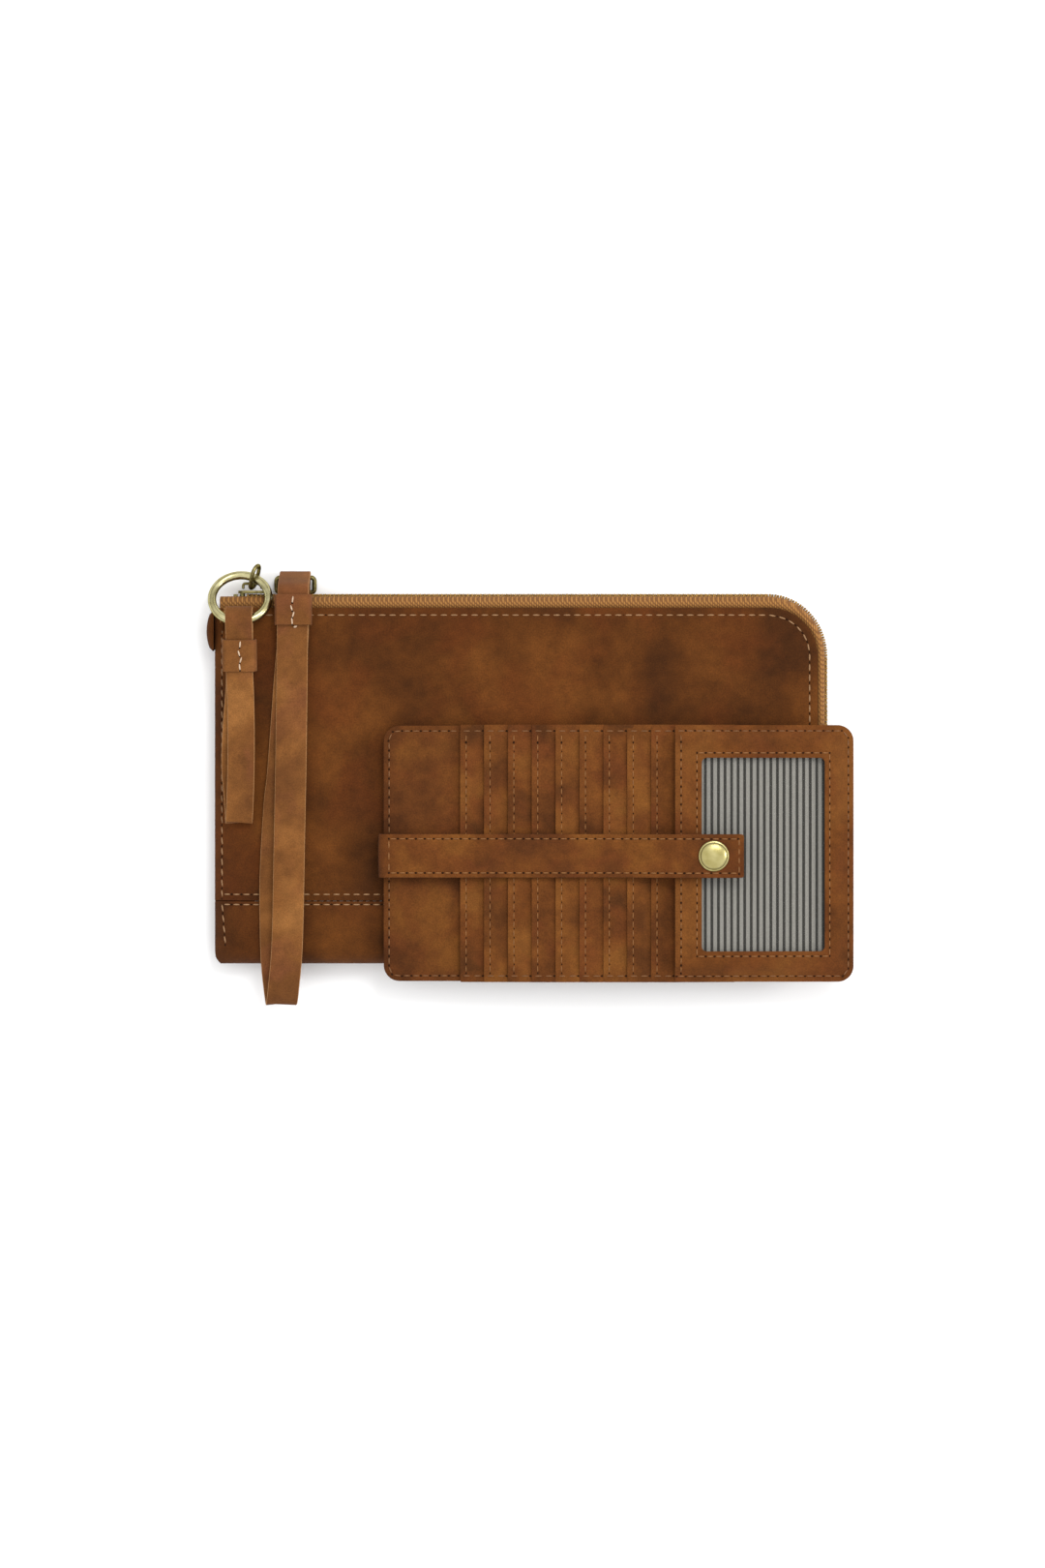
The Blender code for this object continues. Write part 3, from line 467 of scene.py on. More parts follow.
deselect()
bpy.ops.mesh.primitive_uv_sphere_add(segments=8, ring_count=6, radius=0.5)
edit(bpy.context.object,
     (bpy.ops.transform.rotate, {"value": math.pi / 2, "orient_axis": "Y", "center_override": (0, 0, 0)}))
STITCH = template(bpy.context.object)

deselect()
bpy.ops.mesh.primitive_cube_add(size=1.0)
edit(bpy.context.object, (bpy.ops.mesh.bevel, {"offset": 0.18, "segments": 2, "affect": "EDGES"}))
TOOTH = template(bpy.context.object)


def repeated(name, shape, places):
    """Copies of one small shape, each with its own origin, along, across, up and size in mm."""
    points, faces = shape
    all_points = []
    all_faces = []
    for origin, along, across, up, size in places:
        base = len(all_points) * len(points)
        spots = (np.array(origin) + np.outer(points[:, 0] * size[0], along)
                 + np.outer(points[:, 1] * size[1], across) + np.outer(points[:, 2] * size[2], up))
        all_points.append(spots * MM)
        all_faces += [tuple(base + k for k in face) for face in faces]
    mesh = bpy.data.meshes.new(name)
    mesh.from_pydata(np.concatenate(all_points).tolist(), [], all_faces)
    mesh.update()
    piece = bpy.data.objects.new(name, mesh)
    bpy.context.scene.collection.objects.link(piece)
    outward(piece)
    return piece


def even_places(path, pitch):
    """Evenly spaced (point, direction, spacing) along a polyline, in mm."""
    run = run_along(path)
    count = max(1, int(run[-1] / pitch))
    found = []
    at = 0
    for k in range(count):
        want = (k + 0.5) * run[-1] / count
        while at < len(path) - 2 and run[at + 1] < want:
            at += 1
        share = (want - run[at]) / max(TINY, run[at + 1] - run[at])
        ahead = (path[at + 1] - path[at]).normalized()
        found.append((path[at].lerp(path[at + 1], share), ahead, run[-1] / count))
    return found


class Stitching:
    """Rows of stitches and of needle holes on one body, gathered into a few pieces."""

    def __init__(self):
        self.stitches = {}
        self.holes = []

    def row(self, thread, path, height, pitch, width=0.6, side=UP, slant=0.0):
        """A row along path (x, y); height(x, y) gives the surface it lies on."""
        line = [Vector((p[0], p[1], height(p[0], p[1]))) for p in path]
        for spot, ahead, step in even_places(line, pitch):
            across = side.cross(ahead).normalized()
            up = ahead.cross(across)
            along = (ahead + across * slant).normalized()
            self.stitches.setdefault(thread, []).append(
                (spot + up * 0.06, along, up.cross(along), up, (step * 0.68, width, 0.5)))
            self.holes.append((spot + ahead * step / 2 + up * 0.01, ahead, across, up, (0.95, 0.8, 0.18)))

    def make(self, prefix, body, slot, coats):
        for thread, places in self.stitches.items():
            piece = repeated(prefix + "_stitches_" + thread, STITCH, places)
            done(piece, coats[thread], body, slot, angle=80)
        done(repeated(prefix + "_needle_holes", STITCH, self.holes), hole_dark, body, slot, angle=80)


def line_between(a, b, step=2.0):
    a, b = Vector(a), Vector(b)
    count = max(2, int((b - a).length / step))
    return [a.lerp(b, k / count) for k in range(count + 1)]


def turn_between(centre, radius, start, end, steps=12):
    """Points on an arc, its angles in degrees."""
    turns = [math.radians(start + (end - start) * k / steps) for k in range(steps + 1)]
    return [Vector((centre[0] + radius * math.cos(t), centre[1] + radius * math.sin(t))) for t in turns]


def eased(t):
    """0 to 1 with soft ends."""
    t = min(1.0, max(0.0, t))
    return t * t * (3 - 2 * t)


def groove(distance, depth, width):
    """How deep a seam presses a surface in, at a distance from the seam."""
    return depth * math.exp(-((distance / width) ** 2))


# ---------------------------------------------------------------- pouch

front_low, front_high = mm_box("front_panel")
band_low, band_high = mm_box("base_band")
LEFT, RIGHT, TOP = front_low.x, front_high.x, front_high.y
SEAM_Y = (front_low.y + band_high.y) / 2
BOTTOM = band_low.y
POUCH_TOP_Z = front_high.z
MID_Z = POUCH_TOP_Z / 2
CORNER = 19.0
LEATHER = 1.2
PANEL_EDGE = 0.42
SEAM_GAP = 0.15
# Width over which the pouch narrows to its left seam
PINCH = 13.5
# Stitch rows: from the top edge, from the right edge, and above and below the band's seam
ROW_INSET, SIDE_ROW_INSET, SEAM_ROWS = 2.9, 3.15, (2.6, -1.4)
ROW_DEPTH, ROW_WIDTH = 0.16, 0.8
# Width of the zipped edges' roll
EDGE_ROLL = 1.6


def squeeze(x):
    """Share of the pouch's depth left at x: the two sides come together at the sewn left edge."""
    t = min(1.0, max(0.0, (LEFT + PINCH - x) / PINCH))
    return 1.0 - 0.8 * t ** 2.3


def dents(x, y, size, depth, seed):
    """Soft hollows of one size, mostly below the surface."""
    return depth * (noise.noise(Vector((x / size, y / size, seed))) - 0.35)


def rolled_edge(x, y, depth):
    """How far the zipped edges turn in."""
    return depth * (math.exp(-((TOP - y) / EDGE_ROLL)) + math.exp(-((RIGHT - x) / EDGE_ROLL)))


def front_z(x, y):
    """Height of the pouch's front face."""
    drop = rolled_edge(x, y, 0.45) + 0.28 * math.exp(-abs(y - SEAM_Y) / 0.7)
    for row in (TOP - ROW_INSET, SEAM_Y + SEAM_ROWS[0], SEAM_Y + SEAM_ROWS[1]):
        drop += groove(y - row, ROW_DEPTH, ROW_WIDTH)
    drop += groove(x - RIGHT + SIDE_ROW_INSET + 0.25, ROW_DEPTH, ROW_WIDTH)
    rise = dents(x, y, 26.0, 0.5, 3.1) + dents(x, y, 9.0, 0.16, 8.4)
    return MID_Z + (POUCH_TOP_Z - 0.05 - MID_Z - drop + min(0.0, rise)) * squeeze(x)


def panel_xy(u, v, low):
    """Grid position to the panel's outline, square but for the corner at the top right."""
    arc_share = 0.16
    if u < 1 - arc_share:
        x = LEFT + (RIGHT - CORNER - LEFT) * u / (1 - arc_share)
        top = TOP
    else:
        turn = math.pi / 2 * (u - 1 + arc_share) / arc_share
        x = RIGHT - CORNER + CORNER * math.sin(turn)
        top = TOP - CORNER + CORNER * math.cos(turn)
    return x, low + (top - low) * v


def front_surface(u, v):
    x, y = panel_xy(u, v, SEAM_Y + SEAM_GAP)
    return x, y, front_z(x, y)


def back_surface(u, v):
    x, y = panel_xy(1 - u, v, SEAM_Y + SEAM_GAP)
    return x, y, MID_Z - (MID_Z - rolled_edge(x, y, 0.5)) * squeeze(x)


front = slab("pouch_front", 150, 64, front_surface, LEATHER, PANEL_EDGE, 3, True)
done(front, pouch_leather, "pouch", "brown_leather", "front_panel", "left_gusset")
back = slab("pouch_back", 120, 40, back_surface, -LEATHER, PANEL_EDGE, 3, True)
done(back, pouch_leather, "pouch", "brown_leather", "back_panel")

# The band's front and back legs and the half circle of its fold
FOLD = MID_Z
STRAIGHT = SEAM_Y - SEAM_GAP - (BOTTOM + FOLD)
BAND_RUN = 2 * STRAIGHT + math.pi * FOLD


def band_surface(u, v):
    """The base band: front leg, fold round the bottom and back leg."""
    x = LEFT + (RIGHT - LEFT) * u
    run = BAND_RUN * (1 - v)
    centre = BOTTOM + FOLD
    if run < STRAIGHT:
        y = SEAM_Y - SEAM_GAP - run
        z = front_z(x, y)
    elif run > BAND_RUN - STRAIGHT:
        y = SEAM_Y - SEAM_GAP - (BAND_RUN - run)
        z = MID_Z - MID_Z * squeeze(x)
    else:
        # The fold, drawn in a little at its two ends
        turn = (run - STRAIGHT) / FOLD
        y = centre - FOLD * math.sin(turn)
        lift = math.cos(turn)
        reach = (front_z(x, centre) - MID_Z) if lift > 0 else MID_Z * squeeze(x)
        z = MID_Z + reach * lift
        x += 2.2 * math.sin(turn) ** 4 * (1 - u) ** 10
        x -= 1.2 * math.sin(turn) ** 4 * u ** 14
    return x, y, z


band = slab("pouch_base_band", 120, 56, band_surface, LEATHER, 0.35, 2)
done(band, band_leather, "pouch", "brown_leather", "base_band")


def end_patch(name, x, low, high, reach, round_foot, facing):
    """An upright piece that closes one end of the pouch between its front and its back."""

    def surface(u, v):
        y = low + (high - low) * (u * u if round_foot else u)
        inside = max(0.0, reach - (y - low)) if round_foot else 0.0
        half = math.sqrt(max(0.02, reach * reach - inside * inside))
        return x, y, MID_Z + facing * half * (2 * v - 1)

    done(slab(name, 40, 8, surface, 0.9, 0.0), band_leather, "pouch", "brown_leather")


tape_low = mm_box("zip_tape_front")[0]
ZIP_START, ZIP_FOOT = tape_low.x, tape_low.y
BAND_INSIDE = LEATHER + 0.15
end_patch("band_end_patch", RIGHT - 1.4, BOTTOM + BAND_INSIDE, ZIP_FOOT + 0.8, MID_Z - BAND_INSIDE, True, 1)
ZIP_END_LOW = 61.0
end_patch("zip_end_patch", LEFT + 2.6, ZIP_END_LOW, TOP + 3.4, 4.6, False, -1)


def foot_surface(u, v):
    """Leather backing across the zip's lower end, between its two tapes."""
    half = 4.3 - 2.0 * u ** 3
    return RIGHT - 2.6 + 4.6 * u, ZIP_FOOT + 0.7, MID_Z + half * (2 * v - 1)


foot_patch = slab("zip_foot_patch", 12, 8, foot_surface, 0.8, 0.0)
done(foot_patch, band_leather, "pouch", "brown_leather")


def seam_surface(u, v):
    """Turned layers sewn between front and back along the left edge."""
    x = LEFT + 0.12 + 5.0 * u + 0.15 * math.sin(v * 61)
    return x, BOTTOM + 2.5 + (TOP - 3.5 - BOTTOM) * v, MID_Z + 0.24


seam = slab("left_seam_layers", 6, 90, seam_surface, 0.48, 0.0, 1, True)
done(seam, band_leather, "pouch", "brown_leather")

# Folded tab over the zip's closed end
tab_low, tab_high = mm_box("side_tab")


def tab_surface(u, v):
    """Half a turn of leather, flatter towards its two ends."""
    turn = math.pi * (u - 0.5)
    half = (tab_high.z - tab_low.z) / 2
    bulge = (0.25 + 0.75 * math.sin(math.pi * v) ** 0.6)
    x = tab_high.x - (tab_high.x - tab_low.x) * math.cos(turn) * bulge
    z = (tab_low.z + tab_high.z) / 2 + half * math.sin(turn)
    return x, tab_low.y + (tab_high.y - tab_low.y) * v, z


tab = slab("zip_end_tab", 24, 20, tab_surface, -0.8, 0.2)
done(tab, band_leather, "pouch", "brown_leather", "side_tab")

# Zip: how far the teeth stand out along the top and down the side
TEETH_Z = MID_Z + 0.2
RISE_TOP, RISE_SIDE = 4.6, 3.2
ARC = math.pi / 2 * CORNER
RUN_TOP = RIGHT - CORNER - ZIP_START
RUN_SIDE = TOP - CORNER - ZIP_FOOT
ZIP_RUN = RUN_TOP + ARC + RUN_SIDE


def zip_place(run):
    """Point on the pouch's edge, outward direction and rise of the teeth, a distance along the zip."""
    if run < RUN_TOP:
        return Vector((ZIP_START + run, TOP)), Vector((0, 1)), RISE_TOP
    if run < RUN_TOP + ARC:
        turn = (run - RUN_TOP) / CORNER
        out = Vector((math.sin(turn), math.cos(turn)))
        centre = Vector((RIGHT - CORNER, TOP - CORNER))
        return centre + out * CORNER, out, RISE_TOP + (RISE_SIDE - RISE_TOP) * eased((run - RUN_TOP) / ARC)
    return Vector((RIGHT, TOP - CORNER - (run - RUN_TOP - ARC))), Vector((1, 0)), RISE_SIDE


def profile_at(points, v):
    """Smooth position at share v along a short profile."""
    spot = v * (len(points) - 1)
    i = min(len(points) - 2, int(spot))
    a, b, c, d = (Vector(points[min(len(points) - 1, max(0, i + k))]) for k in (-1, 0, 1, 2))
    return curve(a, b, c, d, spot - i)


# Tape profiles: reach beyond the pouch's edge and height
FRONT_TAPE = [(-6, 11.2), (-1.2, 11.3), (0.3, 11.9), (1.6, 12.4), (2.9, 12.15), (3.9, 11.2), (4.5, 10.0),
              (4.7, 8.9)]
BACK_TAPE = [(-6, 2.9), (-1.2, 2.8), (0.6, 2.4), (1.9, 2.3), (3.1, 2.7), (4.0, 3.5), (4.5, 4.5), (4.7, 5.5)]


def tape_surface(profile, flip):
    """A tape's surface along the zip, its profile lower and shorter down the side."""

    def surface(u, v):
        spot, out, rise = zip_place(ZIP_RUN * (1 - u if flip else u))
        reach, z = profile_at(profile, v)
        if reach > 0:
            reach *= rise / RISE_TOP
        if z > MID_Z:
            z -= 0.3 * (RISE_TOP - rise) / (RISE_TOP - RISE_SIDE)
        spot = spot + out * reach
        return spot.x, spot.y, z

    return surface


for word, profile, flip in (("front", FRONT_TAPE, False), ("back", BACK_TAPE, True)):
    tape = slab("zip_tape_cloth_" + word, 190, 18, tape_surface(profile, flip), 0.45, 0.12, 1)
    done(tape, tape_cloth, "pouch", "zip_tape", "zip_tape_" + word)

TOOTH_PITCH = 1.7
TOOTH_SIZE = (0.84, 2.1, 2.5)
ROW_OFFSET = 0.62
slider_low = mm_box("slider_body")[0]
first_tooth = slider_low.x + 3.4 - ZIP_START
tooth_count = int((ZIP_RUN - first_tooth) / TOOTH_PITCH)
# The two rows stand half a pitch apart, so that they mesh
for word, side, phase in (("front", 1, 0.25), ("back", -1, 0.75)):
    places = []
    for k in range(tooth_count):
        spot, out, rise = zip_place(first_tooth + TOOTH_PITCH * (k + phase))
        ahead = Vector((out.y, -out.x, 0))
        origin = Vector((spot.x + out.x * rise, spot.y + out.y * rise, TEETH_Z + side * ROW_OFFSET))
        places.append((origin, ahead, Vector((out.x, out.y, 0)), UP, TOOTH_SIZE))
    teeth = repeated("zip_chain_" + word, TOOTH, places)
    done(teeth, teeth_metal, "pouch", "antique_brass", "zip_teeth_" + word)

# ---------------------------------------------------------------- pouch stitching

SEAM_PITCH, EDGE_PITCH = 3.9, 4.0
SIDE_SLANT = 0.12
side_x = RIGHT - SIDE_ROW_INSET
pouch_rows = Stitching()
top_row = line_between((LEFT + 4, TOP - ROW_INSET), (RIGHT - CORNER, TOP - ROW_INSET))
top_row += turn_between((RIGHT - CORNER, TOP - CORNER), CORNER - SIDE_ROW_INSET, 90, 0)[1:]
top_row += line_between((side_x, TOP - CORNER - 1), (side_x, SEAM_Y + 1.0))
left_top, left_foot = (LEFT + 3.0, TOP - 2.5), (LEFT + 4.4, BOTTOM + 7.5)
left_above, left_below = (LEFT + 3.0, SEAM_Y + 0.8), (LEFT + 3.0, SEAM_Y - 0.8)
pouch_rows.row("pale", top_row, front_z, EDGE_PITCH)
for start, end in ((left_top, left_above), (left_below, left_foot)):
    pouch_rows.row("pale", line_between(start, end), front_z, EDGE_PITCH, slant=SIDE_SLANT)
seam_lines = [((LEFT + 3.4, SEAM_Y + offset), (RIGHT - 2, SEAM_Y + offset)) for offset in SEAM_ROWS]
for start, end in seam_lines:
    pouch_rows.row("pale", line_between(start, end), front_z, SEAM_PITCH)


def back_z(x, y):
    """Height of the pouch's back face, which lies on the floor."""
    return MID_Z - MID_Z * squeeze(x)


pouch_rows.row("pale", top_row[::-1], back_z, EDGE_PITCH, side=-UP)
pouch_rows.row("pale", line_between((LEFT + 3.0, BOTTOM + 8), left_top), back_z, EDGE_PITCH, side=-UP)
for start, end in seam_lines:
    pouch_rows.row("pale", line_between(end, start), back_z, SEAM_PITCH, side=-UP)
pouch_rows.make("pouch", "pouch", "brown_leather", {"pale": pale_thread})

# ---------------------------------------------------------------- wrist strap

wire_high = mm_box("wrist_ring")[1]
strap_low, strap_high = mm_box("wrist_strap")
BAR_Y, BAR_Z = wire_high.y - 1.0, wire_high.z - 1.0
STRAP_X = (strap_low.x + strap_high.x) / 2
STRAP_LEATHER = 1.2
# Heights of the strap's upper leg, its lower leg and its rise over the keeper
upper, lower, crest = POUCH_TOP_Z + 2.4, POUCH_TOP_Z + 0.9, POUCH_TOP_Z + 3.7
wrist_line = [
    # Round the wire ring and over the pouch's edge
    (STRAP_X, BAR_Y + 1.95, BAR_Z), (STRAP_X, BAR_Y + 1.4, BAR_Z + 1.9), (STRAP_X, 80.9, 11.0),
    (STRAP_X, 78.6, 15.9), (STRAP_X, 76.0, crest - 0.1), (STRAP_X, 70.0, crest),
    (STRAP_X - 0.2, 62.5, crest - 0.1),
    # Upper leg
    (STRAP_X - 0.4, 54.0, upper + 0.3), (STRAP_X - 0.5, 42.0, upper + 0.5), (STRAP_X - 0.9, 8.0, upper + 1.2),
    (STRAP_X - 1.5, -26.0, upper + 2.0), (STRAP_X - 1.9, -50.0, upper + 2.3),
    (STRAP_X - 2.5, -66.0, upper + 1.9),
    # Far fold
    (STRAP_X - 3.6, -77.5, upper + 0.8), (STRAP_X - 4.3, -83.2, upper - 0.9),
    (STRAP_X - 4.9, -85.3, upper - 3.2), (STRAP_X - 5.5, -82.8, lower - 3.7),
    (STRAP_X - 6.2, -76.5, lower - 2.5), (STRAP_X - 6.7, -69.6, lower - 0.5),
    # Lower leg
    (STRAP_X - 7.1, -58.0, lower + 0.1), (STRAP_X - 7.2, -36.0, lower), (STRAP_X - 5.7, -8.0, lower),
    (STRAP_X - 4.2, 6.0, lower), (STRAP_X - 1.6, 42.0, lower), (STRAP_X - 0.4, 55.0, lower + 0.3),
    (STRAP_X, 62.5, crest - 1.6), (STRAP_X, 70.0, crest - 1.5), (STRAP_X, 74.6, crest - 1.75),
    (STRAP_X, 77.0, 14.0), (STRAP_X, 79.3, 8.2),
    (STRAP_X, BAR_Y - 1.25, BAR_Z - 0.5), (STRAP_X, BAR_Y + 0.2, BAR_Z - 1.9),
]
wrist = looped_strap("wrist_strap_leather", wrist_line, 12.2, STRAP_LEATHER)
done(wrist, strap_leather, "wrist_strap", "strap_leather", "wrist_strap")
raw_edges(wrist)
sleeve_low, sleeve_high = mm_box("wrist_strap_keeper")
keeper_middle = (sleeve_low + sleeve_high) / 2
keeper_middle.y = sleeve_high.y - 4.0
keeper = sleeve("wrist_strap_sleeve", keeper_middle, 14.6, 5.3, 12.0, 0.0)
done(keeper, strap_leather, "wrist_strap", "strap_leather", "wrist_strap_keeper")


# Stitches that close a keeper: place along it, lean to the side and length
HAND_STITCHES = ((0.33, 0.12, 2.6), (0.05, -0.28, 2.3), (-0.16, 0.3, 2.4), (-0.38, -0.1, 2.6))


def closing_stitches(rows, middle, lean, length):
    """The uneven hand stitch that closes a keeper, down its middle."""
    slope = Vector((0, math.cos(lean), math.sin(lean)))
    up = Vector((0, -math.sin(lean), math.cos(lean)))
    for place, tilt, size in HAND_STITCHES:
        along = (slope + Vector((tilt, 0, 0))).normalized()
        across = along.cross(up)
        spot = middle + slope * place * length + Vector((tilt * 1.2, 0, 0))
        rows.stitches.setdefault("knot", []).append((spot + up * 0.08, along, across, up, (size, 0.62, 0.55)))
        rows.holes.append((spot - along * size * 0.56, along, across, up, (0.8, 0.9, 0.2)))


wrist_rows = Stitching()
closing_stitches(wrist_rows, Vector((keeper_middle.x - 0.2, keeper_middle.y, sleeve_high.z)), 0.0, 12.0)
# The thread's end knot, just below the keeper
knot_at = Vector((STRAP_X + 0.9, 62.4, crest + 0.6))
knot_along, knot_across = Vector((0.9, 0.4, 0)).normalized(), Vector((-0.4, 0.9, 0)).normalized()
wrist_rows.stitches["knot"].append((knot_at, knot_along, knot_across, UP, (1.5, 0.9, 0.8)))
wrist_rows.make("wrist_strap", "wrist_strap", "strap_leather", {"knot": knot_thread})

# ---------------------------------------------------------------- pull ring and pull loop

ring_low, ring_high = mm_box("pull_ring")
RING_WIRE = 3.3
ring_centre = (ring_low + ring_high) / 2
ring_reach = (ring_high - ring_low - Vector((RING_WIRE,) * 3)) / 2
RING_RADIUS = ring_reach.x
ring_up = Vector((0, ring_reach.y, -ring_reach.z)).normalized()
ring_face = Vector((1, 0, 0)).cross(ring_up)


RING_STEPS, WIRE_STEPS = 128, 24


def ring_place(i, j):
    turn, round_wire = 2 * math.pi * i / RING_STEPS, 2 * math.pi * j / WIRE_STEPS
    out = Vector((math.cos(turn), 0, 0)) + ring_up * math.sin(turn)
    reach = RING_RADIUS + RING_WIRE / 2 * math.cos(round_wire)
    return ring_centre + out * reach + ring_face * (RING_WIRE / 2 * math.sin(round_wire))


ring = hoop("pull_ring_brass", RING_STEPS, WIRE_STEPS, ring_place)
done(ring, brass, "pull_ring", "antique_brass", "pull_ring")

# The loop's fold lies round the ring's lowest point
foot = ring_centre - ring_up * RING_RADIUS
LOOP_X = foot.x
loop_line = [
    (LOOP_X, foot.y + 5.4, foot.z - 1.2), (LOOP_X, foot.y + 4.7, foot.z + 1.6),
    (LOOP_X, foot.y + 1.6, foot.z + 2.8), (LOOP_X, foot.y - 3.0, foot.z + 1.0),
    (LOOP_X, foot.y - 8.0, foot.z - 0.9), (LOOP_X, 51.0, 19.2), (LOOP_X, 44.5, 18.0),
    # Upper leg
    (LOOP_X + 0.3, 36.0, upper + 0.3), (LOOP_X + 0.6, 22.0, upper + 1.0), (LOOP_X + 0.6, 8.0, upper + 1.6),
    # Far fold
    (LOOP_X + 0.3, -4.0, upper + 1.6), (LOOP_X - 0.1, -11.6, upper + 0.8), (LOOP_X - 0.4, -14.2, upper - 0.4),
    (LOOP_X - 0.6, -12.4, lower - 0.05), (LOOP_X - 1.1, -4.0, lower),
    # Lower leg
    (LOOP_X - 2.0, 8.0, lower), (LOOP_X - 1.6, 22.0, lower), (LOOP_X - 0.5, 36.0, lower + 0.25),
    (LOOP_X, 44.5, 16.5), (LOOP_X, 51.0, 17.7), (LOOP_X, foot.y - 8.0, foot.z - 2.6),
    (LOOP_X, foot.y - 3.0, foot.z - 3.1), (LOOP_X, foot.y + 1.6, foot.z - 4.1),
    (LOOP_X, foot.y + 4.4, foot.z - 3.6),
]
loop = looped_strap("pull_loop_leather", loop_line, 10.6, STRAP_LEATHER)
done(loop, strap_leather, "pull_loop", "strap_leather", "pull_loop")
raw_edges(loop)
grip_low, grip_high = mm_box("pull_loop_keeper")
grip_middle = (grip_low + grip_high) / 2
LEAN, GRIP_LENGTH, GRIP_HEIGHT = 0.165, 12.5, 5.1
grip = sleeve("pull_loop_sleeve", grip_middle, 13.6, GRIP_HEIGHT, GRIP_LENGTH, LEAN)
done(grip, strap_leather, "pull_loop", "strap_leather", "pull_loop_keeper")
loop_rows = Stitching()
closing_stitches(loop_rows, grip_middle + Vector((0.3, 0, GRIP_HEIGHT / 2)), LEAN, GRIP_LENGTH)
loop_rows.make("pull_loop", "pull_loop", "strap_leather", {"knot": knot_thread})


def smoothed_copy(node, name, body):
    """A packed wire or casting with its facets smoothed away."""
    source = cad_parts[node]
    piece = bpy.data.objects.new(name, source.data.copy())
    piece.data.name = name
    bpy.context.scene.collection.objects.link(piece)
    outward(piece)
    applied(piece, "SUBSURF", levels=2, render_levels=2)
    done(piece, dark_brass, body, "antique_brass", node, angle=180)


smoothed_copy("pull_link", "pull_link_brass", "zip_slider")
smoothed_copy("slider_bridge", "slider_bridge_brass", "zip_slider")
smoothed_copy("wrist_ring", "wrist_ring_brass", "pouch")

# ---------------------------------------------------------------- card wallet

cover_low, cover_high = mm_box("wallet_back_cover")
base_high = mm_box("wallet_base_panel")[1]
window_low = mm_box("window_frame")[0]
W_LEFT, W_RIGHT, W_LOW, W_HIGH = cover_low.x, cover_high.x, cover_low.y, cover_high.y
W_RADIUS = 6.2
POCKETS = 9
POCKET_LEATHER = 0.5
pocket_boxes = [mm_box("card_pocket_%d" % k) for k in range(1, POCKETS + 1)]
pocket_lefts = [low.x for low, high in pocket_boxes]
first_low, first_high = pocket_boxes[0]
POCKET_RISE = (first_high.z - first_low.z - POCKET_LEATHER) / (first_high.x - first_low.x)
STACK_Z = first_low.z
FRAME_X = window_low.x - 0.1
FRAME_TILT = math.radians(2.3)
FRAME_SLOPE = math.tan(FRAME_TILT)
FRAME_TOP = 3.2
# The opening for a card, and how far outside it its stitches run
WINDOW_LEFT, WINDOW_RIGHT, WINDOW_LOW, WINDOW_HIGH = 72.6, 120.8, -64.6, 11.0
WINDOW_SEAM = 1.9


def edge_share(x, y, left, right, reach):
    """0 at the wallet's outer edge, easing to 1 reach millimetres inside it."""
    return eased(min(W_HIGH - y, y - W_LOW, right - x, x - left) / reach)


def frame_plane(x, level):
    """Height above the stack of the slope on which the window lies."""
    return STACK_Z + (W_RIGHT - x) * FRAME_SLOPE + level


def base_z(x, y):
    return base_high.z + 0.5 * edge_share(x, y, W_LEFT, W_RIGHT, 7.0) + dents(x, y, 14.0, 0.18, 5.5)


# How far each pocket's right end sinks, where fewer sheets lie under it
POCKET_SAG = (0.8, 0.45, 0.15, 0, 0, 0, 0, 0, 0)
POCKET_SEAM = 2.3


def pocket_z(index, x, y):
    """Top of a pocket: a slope over the stack, pressed flat along the wallet's sewn edges."""
    left, right = pocket_lefts[index], pocket_boxes[index][1].x
    strip = min(1.0, max(0.0, (x - left) / 9.33))
    lift = 0.3 * math.exp(-max(0.0, x - left) / 1.5)
    z = STACK_Z + POCKET_LEATHER + (right - x) * POCKET_RISE + lift - 0.1 * math.sin(math.pi * strip)
    z -= POCKET_SAG[index] * eased((right - x) / 24.0)
    draped = eased((right - x) / 26.0)
    pressed = STACK_Z + 0.55 + 0.06 * index * draped + min(index, 3) * 0.5 * draped
    share = edge_share(x, y, -math.inf, W_RIGHT + 30, 6.0)
    ripple = dents(x, y, 17.0, 0.22, 2.0 + index) * (1 - eased((x - left) / 9.0))
    return pressed + (z - pressed) * share - groove(x - left - POCKET_SEAM, 0.14, 0.55) + ripple


def panel_z(x, y):
    """Top of the window panel: a tilted plane whose outer edges are sewn down."""
    high = frame_plane(x, FRAME_TOP)
    low = STACK_Z + 1.35 + 2.2 * (1 - eased((x - FRAME_X) / 30.0))
    share = edge_share(x, y, -math.inf, W_RIGHT, 8.0)
    seam = 0.0
    if WINDOW_LOW - 3 < y < WINDOW_HIGH + 3:
        for place in (WINDOW_LEFT - WINDOW_SEAM, WINDOW_RIGHT + WINDOW_SEAM):
            seam += groove(x - place, 0.12, 0.5)
    return low + (high - low) * share - seam + dents(x, y, 20.0, 0.2, 6.6) * share


def wallet_top(x, y):
    """Height of whatever leather lies uppermost in the wallet."""
    if x >= FRAME_X:
        return panel_z(x, y)
    if x < pocket_lefts[0]:
        return base_z(x, y)
    index = max(k for k in range(POCKETS) if x >= pocket_lefts[k])
    return pocket_z(index, x, y)


